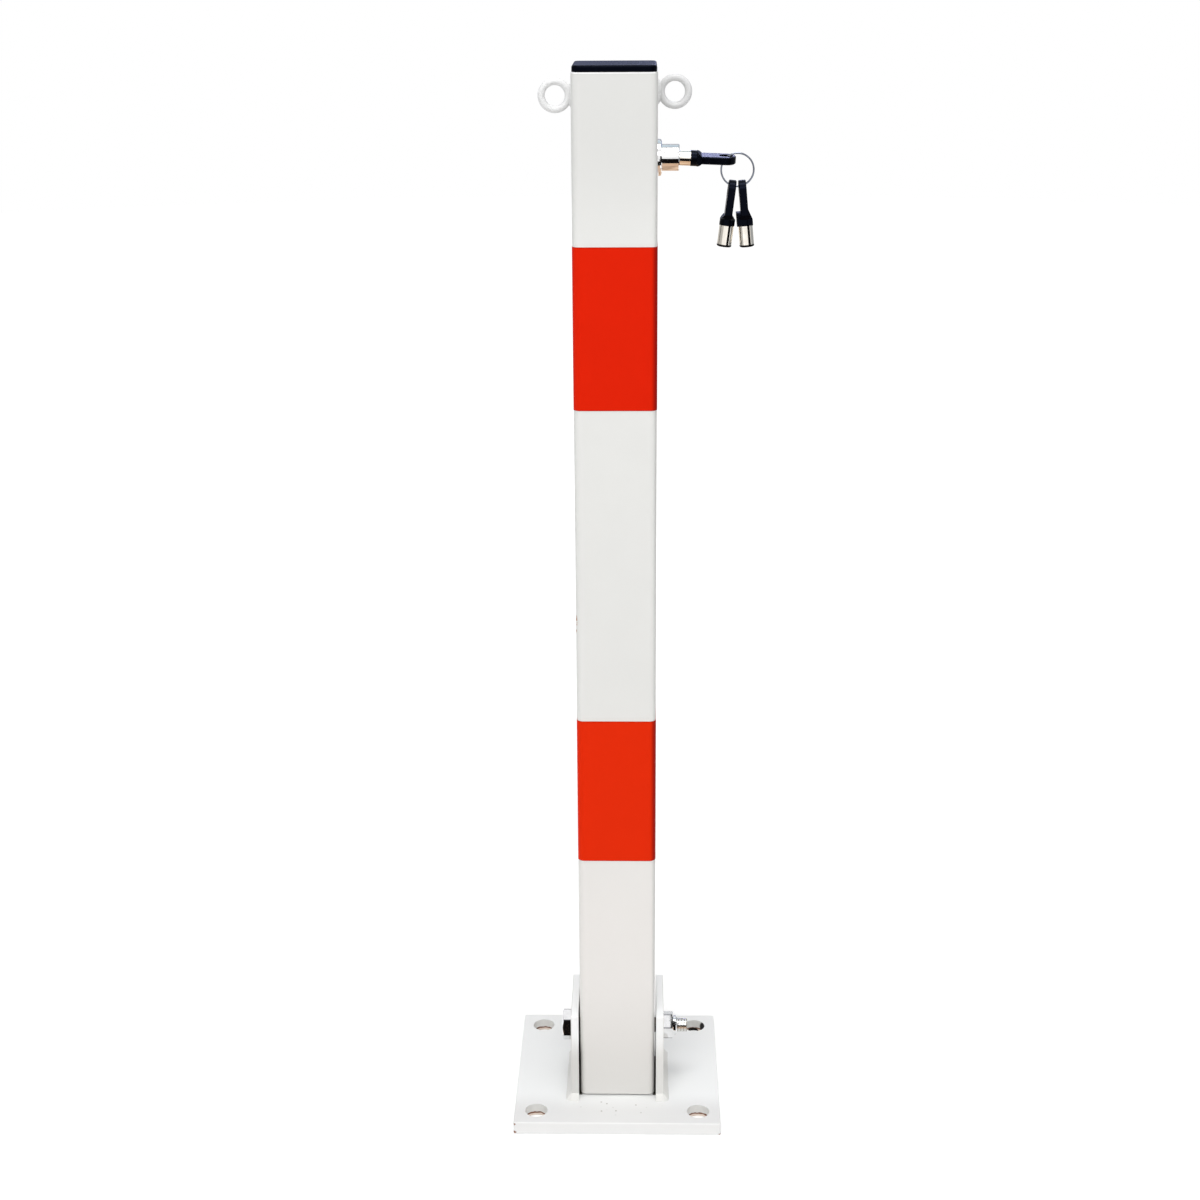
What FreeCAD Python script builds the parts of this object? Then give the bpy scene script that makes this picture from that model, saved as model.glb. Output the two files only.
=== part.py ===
import FreeCAD, Part
import math
import os

# Fold-down parking post: a square tube that lifts and folds about a bolt between two ears on a base plate.
# Millimetres. X to the right, Y away from the front, Z up. Origin: middle of the base plate's underside.

# Base plate
PLATE_SIDE = 165.0
PLATE_THICKNESS = 10.0
PLATE_EDGE_ROUND = 0.8
PLATE_CORNER_ROUND = 1.5
ANCHOR_HOLE_DIAMETER = 18.0
ANCHOR_HOLE_SPACING = 130.0

# Square tube of the post
TUBE_SIDE = 60.0
TUBE_WALL = 2.5
TUBE_CORNER_RADIUS = 5.0
TUBE_LENGTH = 804.0
FOOT_GAP = 1.5
POST_OFFSET = 13.0

# Ears that carry the pivot, and their welds
EAR_DEPTH = 68.0
EAR_HEIGHT = 75.0
EAR_THICKNESS = 6.0
EAR_EDGE_ROUND = 0.8
EAR_TUBE_GAP = 1.2
EAR_WELD_LEG = 4.5
EAR_WELD_WAIST_LEG = 1.9
EAR_WELD_WAIST_HEIGHT = 1.6
EAR_WELD_TOE = 0.5
EAR_WELD_CORNER_SHARE = 0.8

# Pivot bolt and lock nut
PIVOT_HEIGHT = 48.0
BOLT_DIAMETER = 12.0
BOLT_HEAD_FLATS = 22.0
BOLT_HEAD_HEIGHT = 8.0
BOLT_HEAD_TURN = 15.0
THREAD_DIAMETER = 11.8
THREAD_OVERHANG = 8.6
THREAD_CHAMFER = 1.2
NUT_FLATS = 19.5
NUT_HEX_HEIGHT = 8.3
NUT_TURN = 43.5
NUT_COLLAR_HEIGHT = 2.6
NUT_COLLAR_DIAMETER = 16.6
INSERT_HEIGHT = 2.0
INSERT_DIAMETER = 14.4
HEX_CHAMFER = 0.9
BOLT_HOLE_CLEARANCE = 0.3

# Sleeve on the bolt and the flat bar that it carries inside the tube
SLEEVE_DIAMETER = 20.0
SLEEVE_BORE_FIT = 0.05
SLEEVE_SIDE_CLEARANCE = 0.5
LIFT_TRAVEL = 35.6
SLOT_CLEARANCE = 0.3
SLEEVE_COPE_GAP = 0.1
BAR_WIDTH = 30.0
BAR_THICKNESS = 5.0
EYE_BELOW_PIN = 14.0
EYE_ABOVE_PIN = 12.0
EYE_CHAMFER = 6.0
PIN_HOLE_CLEARANCE = 1.7
GUIDE_THICKNESS = 4.0
GUIDE_BELOW_LOCK = 45.0
GUIDE_CLEARANCE = 0.3

# Plastic cap in the tube's upper end
CAP_HEAD_SIDE = 58.8
CAP_HEAD_HEIGHT = 4.6
CAP_TOP_ROUND = 1.5
CAP_BOTTOM_BEVEL = 0.7
CAP_SKIRT_DEPTH = 20.0
CAP_SKIRT_WALL = 2.0
CAP_SKIRT_GAP = 1.4
CAP_LIP_COUNT = 3
CAP_LIP_THICKNESS = 1.2
CAP_LIP_PITCH = 5.5
CAP_LIP_GAP = 0.1

# Chain eyelets and their welds
EYELET_OUTER_DIAMETER = 24.0
EYELET_ROD_DIAMETER = 5.0
LEFT_EYELET_BELOW_RIM = 17.3
RIGHT_EYELET_BELOW_RIM = 14.8
EYELET_WELD_LENGTH = 15.0
EYELET_WELD_RADIUS = 3.2

# Red bands round the tube
BAND_HEIGHT = 117.2
BAND_FILM = 0.25
UPPER_BAND_BELOW_RIM = 118.6
LOWER_BAND_BELOW_RIM = 477.0

# Push lock in the right-hand wall
LOCK_BELOW_RIM = 60.0
FLANGE_DIAMETER = 25.4
FLANGE_THICKNESS = 3.0
FLANGE_BEVEL = 1.2
HOUSING_DIAMETER = 22.0
HOUSING_END_WALL = 3.0
HOUSING_HOLE_CLEARANCE = 0.2
RING_NUT_FLATS = 27.0
RING_NUT_THICKNESS = 5.0
PLUNGER_DIAMETER = 18.5
PLUNGER_FIT = 0.05
PLUNGER_REACH = 15.4
PLUNGER_LENGTH = 19.4
PLUNGER_FACE_CHAMFER = 0.6
PLUNGER_TRAVEL = 12.0
PIN_DIAMETER = 7.0
PIN_FIT = 0.1
PIN_SOCKET_DEPTH = 4.0
PIN_BAR_GAP = 1.5
PIN_TIP_CHAMFER = 1.0
SPRING_WIRE = 1.0
SPRING_WIRE_SIDES = 8
SPRING_MEAN_DIAMETER = 13.0
SPRING_TURNS = 4
SPRING_END_GAP = 0.1
SPRING_PRESSED_LENGTH = 6.0

# Round lock core with its ring-shaped keyway
CORE_DIAMETER = 13.0
CORE_FIT = 0.05
CORE_LENGTH = 13.8
CORE_END_GAP = 0.2
KEYWAY_DEPTH = 8.5
KEYWAY_FIT = 0.2

# Tubular key
KEY_BARREL_DIAMETER = 10.7
KEY_BORE_DIAMETER = 8.0
KEY_BARREL_LENGTH = 15.0
KEY_BORE_DEPTH = 13.0
KEY_RIM_CHAMFER = 0.5
KEY_NOTCH_WIDTH = 1.7
KEY_NOTCH_LENGTH = 2.4
KEY_SPIGOT_DIAMETER = 6.6
KEY_SPIGOT_LENGTH = 4.0
KEY_HEAD_LENGTH = 32.0
KEY_COLLAR_DIAMETER = 11.0
KEY_COLLAR_LENGTH = 4.4
KEY_TAPER_LENGTH = 3.4
KEY_PADDLE_WIDTH = 13.4
KEY_PADDLE_THICKNESS = 5.4
KEY_PADDLE_BEVEL = 0.6
KEY_SLOT_LENGTH = 9.8
KEY_SLOT_WIDTH = 6.0
KEY_SLOT_WEB = 2.0
KEY_INSERTED = 7.1
KEY_DROOP = 2.4
KEY_TURN = 8.0

# Squared shoulder that the right-hand spare key's head has at the foot of its paddle
SHOULDER_SQUARE_REACH = 6.0
SHOULDER_SQUARE_LENGTH = 9.8
SHOULDER_SLOPE_REACH = 5.4
SHOULDER_SLOPE_START = 4.4
SHOULDER_SLOPE_LENGTH = 11.8
SHOULDER_WIDTH = 10.4
SHOULDER_EDGE_BEVEL = 0.8

# Split ring and the two spare keys that hang on it
RING_RADIUS = 11.5
RING_WIRE_HEIGHT = 1.2
RING_WIRE_WIDTH = 0.75
RING_EDGE_BEVEL = 0.2
RING_TURN_OVERLAP = 0.05
RING_SPLIT_WIDTH = 0.6
RING_SPLIT_ANGLE = 38.0
RING_SPLIT_SPREAD = 48.0
RING_LEAN = 18.0
RING_SEAT_GAP = 0.6
LEFT_KEY_ALONG_RING = -18.0
LEFT_KEY_TILT = 7.0
RIGHT_KEY_ALONG_RING = 18.0
RIGHT_KEY_TILT = 5.5
KEY_HANG_GAP = 1.3

# Extra reach of a cutter, or of a piece into the one that it is joined to
CUT_OVERLAP = 1.0

# Places that follow from the sizes above
TUBE_HALF = TUBE_SIDE / 2
CAVITY_SIDE = TUBE_SIDE - 2 * TUBE_WALL
CAVITY_RADIUS = TUBE_CORNER_RADIUS - TUBE_WALL
POST_Y = -POST_OFFSET
FOOT_Z = PLATE_THICKNESS + FOOT_GAP
RIM_Z = FOOT_Z + TUBE_LENGTH
PIVOT_Z = PLATE_THICKNESS + PIVOT_HEIGHT
EAR_INNER_X = TUBE_HALF + EAR_TUBE_GAP
EAR_OUTER_X = EAR_INNER_X + EAR_THICKNESS
NUT_END_X = EAR_OUTER_X + NUT_HEX_HEIGHT + NUT_COLLAR_HEIGHT
LOCK_Z = RIM_Z - LOCK_BELOW_RIM
PLUNGER_FACE_X = TUBE_HALF + PLUNGER_REACH
PLUNGER_BACK_X = PLUNGER_FACE_X - PLUNGER_LENGTH
HOUSING_FLOOR_X = PLUNGER_BACK_X - PLUNGER_TRAVEL - SPRING_PRESSED_LENGTH
HOUSING_END_X = HOUSING_FLOOR_X - HOUSING_END_WALL
PIN_TIP_X = BAR_THICKNESS / 2 + PIN_BAR_GAP
KEY_LENGTH = KEY_BARREL_LENGTH + KEY_HEAD_LENGTH
WEB_REACH = KEY_LENGTH - KEY_SLOT_WEB - KEY_INSERTED
WEB_CORNER_X = PLUNGER_FACE_X + WEB_REACH
WEB_CORNER_Z = LOCK_Z + KEY_PADDLE_THICKNESS / 2 - WEB_REACH * math.sin(math.radians(KEY_DROOP))
RING_SEAT = RING_RADIUS - RING_WIRE_HEIGHT / 2 - RING_SEAT_GAP
RING_X = WEB_CORNER_X + RING_SEAT * math.sin(math.radians(RING_LEAN))
RING_Z = WEB_CORNER_Z - RING_SEAT * math.cos(math.radians(RING_LEAN))
X_AXIS = FreeCAD.Vector(1, 0, 0)
Y_AXIS = FreeCAD.Vector(0, 1, 0)
Z_AXIS = FreeCAD.Vector(0, 0, 1)


def point(x, y, z):
    return FreeCAD.Vector(x, y, z)


def block(x_range, y_range, z_range):
    """A box between two values on each axis."""
    low = point(min(x_range), min(y_range), min(z_range))
    sizes = [abs(r[1] - r[0]) for r in (x_range, y_range, z_range)]
    return Part.makeBox(sizes[0], sizes[1], sizes[2], low)


def rod_along_x(x_from, x_to, radius, y, z):
    """A round bar along X."""
    low = min(x_from, x_to)
    return Part.makeCylinder(radius, abs(x_to - x_from), point(low, y, z), X_AXIS)


def closed_outline(corners, place):
    """A closed wire. A corner (a, b) ends a straight line, and (a, b, c, d) ends an arc through (c, d)."""
    edges = []
    start = corners[-1][:2]
    for corner in corners:
        end = corner[:2]
        if len(corner) == 4:
            edges.append(Part.Arc(place(*start), place(*corner[2:]), place(*end)).toShape())
        else:
            edges.append(Part.LineSegment(place(*start), place(*end)).toShape())
        start = end
    return Part.Wire(edges)


def turned_along_x(corners, y, z):
    """A turned piece: an outline of (x, radius) corners spun about the line at y, z."""
    face = Part.Face(closed_outline(corners, lambda x, r: point(x, y, z + r)))
    return face.revolve(point(0, y, z), X_AXIS, 360)


def rounded_rectangle(width, depth, radius, centre_x, centre_y, z):
    """A level wire: a rectangle with round corners."""
    a = width / 2
    b = depth / 2
    r = radius
    s = radius * (1 - math.sqrt(0.5))
    corners = [
        (a, -b + r, a - s, -b + s), (a, b - r), (a - r, b, a - s, b - s), (-a + r, b),
        (-a, b - r, -a + s, b - s), (-a, -b + r), (-a + r, -b, -a + s, -b + s), (a - r, -b),
    ]
    return closed_outline(corners, lambda x, y: point(centre_x + x, centre_y + y, z))


def square_prism(side, radius, z_from, z_to):
    """An upright square bar with round corners, on the post's centre line."""
    face = Part.Face(rounded_rectangle(side, side, radius, 0, POST_Y, z_from))
    return face.extrude(point(0, 0, z_to - z_from))


def square_ring(side, radius, wall, z_from, z_to):
    """An upright square tube on the post's centre line."""
    outside = square_prism(side, radius, z_from, z_to)
    return outside.cut(square_prism(side - 2 * wall, radius - wall, z_from, z_to))


def obround_along_x(x_from, x_to, width, y, z_low, z_high):
    """A slot cutter along X: an upright obround whose round ends are centred on z_low and z_high."""
    radius = width / 2
    bottom = rod_along_x(x_from, x_to, radius, y, z_low)
    top = rod_along_x(x_from, x_to, radius, y, z_high)
    return bottom.fuse([top, block((x_from, x_to), (y - radius, y + radius), (z_low, z_high))])


def edges_at(shape, axis, value):
    """The edges that lie wholly at one value of x, y or z."""
    low = axis + "Min"
    high = axis + "Max"
    near = 1e-4
    return [e for e in shape.Edges
            if abs(getattr(e.BoundBox, low) - value) < near and abs(getattr(e.BoundBox, high) - value) < near]


def hexagon_along_x(x_seat, x_face, flats, turn, y, z):
    """A hexagonal head or nut from its seat to its face, with the corners of the face turned off."""
    radius = flats / math.sqrt(3)
    corners = []
    for i in range(6):
        angle = math.radians(60 * i + turn)
        corners.append((radius * math.cos(angle), radius * math.sin(angle)))
    face = Part.Face(closed_outline(corners, lambda a, b: point(x_seat, y + a, z + b)))
    prism = face.extrude(point(x_face - x_seat, 0, 0))
    inward = math.copysign(HEX_CHAMFER, x_seat - x_face)
    face_radius = flats / 2 - HEX_CHAMFER / 2
    limit = [(x_seat, 0), (x_seat, radius), (x_face + inward, radius), (x_face, face_radius), (x_face, 0)]
    return prism.common(turned_along_x(limit, y, z))


def base_plate():
    """Square steel plate with four anchor holes and slightly rounded edges."""
    wire = rounded_rectangle(PLATE_SIDE, PLATE_SIDE, PLATE_CORNER_ROUND, 0, 0, 0)
    plate = Part.Face(wire).extrude(point(0, 0, PLATE_THICKNESS))
    plate = plate.makeFillet(PLATE_EDGE_ROUND, edges_at(plate, "Z", PLATE_THICKNESS))
    reach = ANCHOR_HOLE_SPACING / 2
    for x in (-reach, reach):
        for y in (-reach, reach):
            plate = plate.cut(Part.makeCylinder(ANCHOR_HOLE_DIAMETER / 2, PLATE_THICKNESS, point(x, y, 0)))
    return plate


def ear(side):
    """Upright steel ear beside the tube, bored for the pivot bolt. side is -1 at the left, 1 at the right."""
    depth = (POST_Y - EAR_DEPTH / 2, POST_Y + EAR_DEPTH / 2)
    top = PLATE_THICKNESS + EAR_HEIGHT
    plate = block((side * EAR_INNER_X, side * EAR_OUTER_X), depth, (PLATE_THICKNESS, top))
    plate = plate.makeFillet(EAR_EDGE_ROUND, edges_at(plate, "Z", top))
    bore = BOLT_DIAMETER / 2 + BOLT_HOLE_CLEARANCE
    return plate.cut(rod_along_x(side * EAR_INNER_X, side * EAR_OUTER_X, bore, POST_Y, PIVOT_Z))


def ear_weld(side):
    """Fillet weld round an ear's foot on its outer side, front and back, hollowed like a run bead."""
    profile = ((0, EAR_WELD_LEG), (EAR_WELD_WAIST_HEIGHT, EAR_WELD_WAIST_LEG), (EAR_WELD_LEG, EAR_WELD_TOE))
    sections = []
    for height, leg in profile:
        width = EAR_THICKNESS + leg
        depth = EAR_DEPTH + 2 * leg
        corner = leg * EAR_WELD_CORNER_SHARE
        centre_x = side * (EAR_INNER_X + width / 2)
        sections.append(rounded_rectangle(width, depth, corner, centre_x, POST_Y, PLATE_THICKNESS + height))
    bead = Part.makeLoft(sections, True, True)
    depth = (POST_Y - EAR_DEPTH / 2, POST_Y + EAR_DEPTH / 2)
    foot = (PLATE_THICKNESS - CUT_OVERLAP, PLATE_THICKNESS + EAR_HEIGHT)
    return bead.cut(block((0, side * EAR_OUTER_X), depth, foot))


def pivot_bolt():
    """Hexagon bolt across both ears: head at the left, plain shank, threaded end at the right."""
    head_face = -EAR_OUTER_X - BOLT_HEAD_HEIGHT
    head = hexagon_along_x(-EAR_OUTER_X, head_face, BOLT_HEAD_FLATS, BOLT_HEAD_TURN, POST_Y, PIVOT_Z)
    shank = rod_along_x(-EAR_OUTER_X, EAR_OUTER_X, BOLT_DIAMETER / 2, POST_Y, PIVOT_Z)
    start = EAR_OUTER_X
    end = NUT_END_X + THREAD_OVERHANG
    r = THREAD_DIAMETER / 2
    thread = [(start, 0), (start, r), (end - THREAD_CHAMFER, r), (end, r - THREAD_CHAMFER), (end, 0)]
    return head.fuse([shank, turned_along_x(thread, POST_Y, PIVOT_Z)]).removeSplitter()


def pivot_nut():
    """Lock nut: a hexagon with a round collar that holds the insert."""
    hexagon_end = EAR_OUTER_X + NUT_HEX_HEIGHT
    body = hexagon_along_x(EAR_OUTER_X, hexagon_end, NUT_FLATS, NUT_TURN, POST_Y, PIVOT_Z)
    end = NUT_END_X
    lip = NUT_COLLAR_HEIGHT - INSERT_HEIGHT
    r = NUT_COLLAR_DIAMETER / 2
    root = hexagon_end - CUT_OVERLAP
    collar = [(root, 0), (root, r), (end - lip, r), (end, r - lip), (end, 0)]
    body = body.fuse(turned_along_x(collar, POST_Y, PIVOT_Z))
    body = body.cut(rod_along_x(EAR_OUTER_X, end, THREAD_DIAMETER / 2, POST_Y, PIVOT_Z))
    pocket = rod_along_x(end - INSERT_HEIGHT, end, INSERT_DIAMETER / 2, POST_Y, PIVOT_Z)
    return body.cut(pocket).removeSplitter()


def nut_insert():
    """Plastic ring in the lock nut's collar, round the thread."""
    start = NUT_END_X - INSERT_HEIGHT
    ring = rod_along_x(start, NUT_END_X, INSERT_DIAMETER / 2, POST_Y, PIVOT_Z)
    return ring.cut(rod_along_x(start, NUT_END_X, THREAD_DIAMETER / 2, POST_Y, PIVOT_Z))


def pivot_sleeve():
    """Sleeve that turns on the bolt inside the tube."""
    half = CAVITY_SIDE / 2 - SLEEVE_SIDE_CLEARANCE
    sleeve = rod_along_x(-half, half, SLEEVE_DIAMETER / 2, POST_Y, PIVOT_Z)
    return sleeve.cut(rod_along_x(-half, half, BOLT_DIAMETER / 2 + SLEEVE_BORE_FIT, POST_Y, PIVOT_Z))


def lock_bar():
    """Flat bar from the sleeve, which it is coped over, up to the eye at the lock."""
    thick = (-BAR_THICKNESS / 2, BAR_THICKNESS / 2)
    width = (POST_Y - BAR_WIDTH / 2, POST_Y + BAR_WIDTH / 2)
    bar = block(thick, width, (PIVOT_Z + SLEEVE_DIAMETER / 4, LOCK_Z - EYE_BELOW_PIN))
    cope = SLEEVE_DIAMETER / 2 + SLEEVE_COPE_GAP
    return bar.cut(rod_along_x(-BAR_THICKNESS, BAR_THICKNESS, cope, POST_Y, PIVOT_Z))


def bar_eye():
    """Eye piece welded on the flat bar's end, of the same section, with the hole for the lock's pin."""
    half = BAR_WIDTH / 2
    low = LOCK_Z - EYE_BELOW_PIN
    top = LOCK_Z + EYE_ABOVE_PIN
    cut = EYE_CHAMFER
    corners = [
        (-half, low), (half, low), (half, top - cut),
        (half - cut, top), (-half + cut, top), (-half, top - cut),
    ]
    outline = closed_outline(corners, lambda y, z: point(-BAR_THICKNESS / 2, POST_Y + y, z))
    eye = Part.Face(outline).extrude(point(BAR_THICKNESS, 0, 0))
    hole = PIN_DIAMETER / 2 + PIN_HOLE_CLEARANCE
    return eye.cut(rod_along_x(-BAR_THICKNESS, BAR_THICKNESS, hole, POST_Y, LOCK_Z))


def post_tube():
    """Square tube with a slot in each side wall for the bolt and a hole for the lock."""
    tube = square_ring(TUBE_SIDE, TUBE_CORNER_RADIUS, TUBE_WALL, FOOT_Z, RIM_Z)
    width = BOLT_DIAMETER + 2 * SLOT_CLEARANCE
    slot = obround_along_x(-TUBE_SIDE, TUBE_SIDE, width, POST_Y, PIVOT_Z - LIFT_TRAVEL, PIVOT_Z)
    lock_hole = HOUSING_DIAMETER / 2 + HOUSING_HOLE_CLEARANCE
    return tube.cut([slot, rod_along_x(0, TUBE_SIDE, lock_hole, POST_Y, LOCK_Z)])


def bar_guide():
    """Plate across the inside of the tube with a window that the flat bar slides in."""
    top = LOCK_Z - GUIDE_BELOW_LOCK
    bottom = top - GUIDE_THICKNESS
    plate = square_prism(CAVITY_SIDE, CAVITY_RADIUS, bottom, top)
    x = BAR_THICKNESS / 2 + GUIDE_CLEARANCE
    y = BAR_WIDTH / 2 + GUIDE_CLEARANCE
    return plate.cut(block((-x, x), (POST_Y - y, POST_Y + y), (bottom, top)))


def top_cap():
    """Moulded cap: a rounded head on the rim and a hollow skirt with gripping lips inside the tube."""
    head = square_prism(CAP_HEAD_SIDE, TUBE_CORNER_RADIUS, RIM_Z, RIM_Z + CAP_HEAD_HEIGHT)
    head = head.makeFillet(CAP_TOP_ROUND, edges_at(head, "Z", RIM_Z + CAP_HEAD_HEIGHT))
    head = head.makeChamfer(CAP_BOTTOM_BEVEL, edges_at(head, "Z", RIM_Z))
    skirt_side = CAVITY_SIDE - 2 * CAP_SKIRT_GAP
    bottom = RIM_Z - CAP_SKIRT_DEPTH
    pieces = [square_ring(skirt_side, CAVITY_RADIUS, CAP_SKIRT_WALL, bottom, RIM_Z)]
    lip_side = CAVITY_SIDE - 2 * CAP_LIP_GAP
    lip_wall = (lip_side - skirt_side) / 2 + CAP_SKIRT_WALL / 2
    for i in range(CAP_LIP_COUNT):
        z = bottom + CAP_LIP_THICKNESS + i * CAP_LIP_PITCH
        pieces.append(square_ring(lip_side, CAVITY_RADIUS, lip_wall, z, z + CAP_LIP_THICKNESS))
    return head.fuse(pieces).removeSplitter()


def eyelet(side, below_rim):
    """Closed ring of round rod that touches the tube's side wall."""
    major = (EYELET_OUTER_DIAMETER - EYELET_ROD_DIAMETER) / 2
    centre = point(side * (TUBE_HALF + EYELET_OUTER_DIAMETER / 2), POST_Y, RIM_Z - below_rim)
    return Part.makeTorus(major, EYELET_ROD_DIAMETER / 2, centre, Y_AXIS)


def eyelet_weld(side, below_rim):
    """Weld bead between an eyelet and the wall: an arc spun half round an upright line on the wall."""
    z = RIM_Z - below_rim
    half = EYELET_WELD_LENGTH / 2
    corners = [(0, half, EYELET_WELD_RADIUS, 0), (0, -half)]
    wall = side * TUBE_HALF
    face = Part.Face(closed_outline(corners, lambda r, h: point(wall, POST_Y - side * r, z + h)))
    half_spindle = face.revolve(point(wall, POST_Y, z), Z_AXIS, 180)
    return half_spindle.cut(eyelet(side, below_rim))


def red_band(below_rim):
    """Band of red film laid round the tube."""
    top = RIM_Z - below_rim
    side = TUBE_SIDE + 2 * BAND_FILM
    return square_ring(side, TUBE_CORNER_RADIUS + BAND_FILM, BAND_FILM, top - BAND_HEIGHT, top)


def lock_housing():
    """Turned housing: flange outside the wall, barrel through it, bored for the plunger and its pin."""
    outer = TUBE_HALF + FLANGE_THICKNESS
    flange = FLANGE_DIAMETER / 2
    barrel = HOUSING_DIAMETER / 2
    bore = PLUNGER_DIAMETER / 2 + PLUNGER_FIT
    pin = PIN_DIAMETER / 2 + PIN_FIT
    corners = [
        (HOUSING_END_X, pin), (HOUSING_END_X, barrel), (TUBE_HALF, barrel), (TUBE_HALF, flange),
        (outer - FLANGE_BEVEL, flange), (outer - FLANGE_BEVEL / 3, flange - FLANGE_BEVEL / 3),
        (outer, flange - FLANGE_BEVEL), (outer, bore), (HOUSING_FLOOR_X, bore), (HOUSING_FLOOR_X, pin),
    ]
    return turned_along_x(corners, POST_Y, LOCK_Z)


def lock_ring_nut():
    """Thin hexagon nut that clamps the housing to the inside of the wall."""
    inner = TUBE_HALF - TUBE_WALL
    nut = hexagon_along_x(inner, inner - RING_NUT_THICKNESS, RING_NUT_FLATS, 0, POST_Y, LOCK_Z)
    return nut.cut(rod_along_x(0, TUBE_HALF, HOUSING_DIAMETER / 2, POST_Y, LOCK_Z))


def lock_plunger():
    """Bright push-button body, bored at its face for the lock core and at its back for the pin."""
    r = PLUNGER_DIAMETER / 2
    core = CORE_DIAMETER / 2
    floor = PLUNGER_FACE_X - CORE_LENGTH - CORE_END_GAP
    socket = PLUNGER_BACK_X + PIN_SOCKET_DEPTH
    pin = PIN_DIAMETER / 2
    corners = [
        (socket, 0), (socket, pin), (PLUNGER_BACK_X, pin), (PLUNGER_BACK_X, r),
        (PLUNGER_FACE_X - PLUNGER_FACE_CHAMFER, r), (PLUNGER_FACE_X, r - PLUNGER_FACE_CHAMFER),
        (PLUNGER_FACE_X, core), (floor, core), (floor, 0),
    ]
    return turned_along_x(corners, POST_Y, LOCK_Z)


def lock_pin():
    """Steel pin behind the plunger that enters the flat bar when the plunger is pushed in."""
    r = PIN_DIAMETER / 2
    back = PLUNGER_BACK_X + PIN_SOCKET_DEPTH
    tip = PIN_TIP_X
    corners = [(back, 0), (back, r), (tip + PIN_TIP_CHAMFER, r), (tip, r - PIN_TIP_CHAMFER), (tip, 0)]
    return turned_along_x(corners, POST_Y, LOCK_Z)


def lock_spring():
    """Coil spring of octagonal wire round the pin, between the housing's floor and the plunger's back."""
    start = HOUSING_FLOOR_X + SPRING_END_GAP + SPRING_WIRE / 2
    height = PLUNGER_BACK_X - SPRING_END_GAP - SPRING_WIRE / 2 - start
    mean = SPRING_MEAN_DIAMETER / 2
    path = Part.Wire(Part.makeHelix(height / SPRING_TURNS, height, mean))
    section = []
    for i in range(SPRING_WIRE_SIDES):
        angle = 2 * math.pi * (i + 0.5) / SPRING_WIRE_SIDES
        section.append(point(mean + SPRING_WIRE / 2 * math.cos(angle), 0, SPRING_WIRE / 2 * math.sin(angle)))
    coil = path.makePipeShell([Part.makePolygon(section + section[:1])], True, True)
    coil.rotate(point(0, 0, 0), Y_AXIS, 90)
    coil.translate(point(start, POST_Y, LOCK_Z))
    return coil


def lock_core():
    """Round core with a ring-shaped keyway round its centre post."""
    r = CORE_DIAMETER / 2 - CORE_FIT
    back = PLUNGER_FACE_X - CORE_LENGTH
    floor = PLUNGER_FACE_X - KEYWAY_DEPTH
    outer = KEY_BARREL_DIAMETER / 2 + KEYWAY_FIT
    post = KEY_BORE_DIAMETER / 2 - KEYWAY_FIT
    corners = [
        (back, 0), (back, r), (PLUNGER_FACE_X, r), (PLUNGER_FACE_X, outer),
        (floor, outer), (floor, post), (PLUNGER_FACE_X, post), (PLUNGER_FACE_X, 0),
    ]
    return turned_along_x(corners, POST_Y, LOCK_Z)


def key_barrel():
    """Tubular key barrel, tip at the origin and head towards +X, with two notches in its rim and a spigot."""
    r = KEY_BARREL_DIAMETER / 2
    bore = KEY_BORE_DIAMETER / 2
    end = KEY_BARREL_LENGTH
    spigot = end + KEY_SPIGOT_LENGTH
    corners = [
        (0, bore), (0, r - KEY_RIM_CHAMFER), (KEY_RIM_CHAMFER, r), (end, r), (end, KEY_SPIGOT_DIAMETER / 2),
        (spigot, KEY_SPIGOT_DIAMETER / 2), (spigot, 0), (KEY_BORE_DEPTH, 0), (KEY_BORE_DEPTH, bore),
    ]
    barrel = turned_along_x(corners, 0, 0)
    half = KEY_NOTCH_WIDTH / 2
    return barrel.cut(block((0, KEY_NOTCH_LENGTH), (-half, half), (-r, r)))


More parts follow.
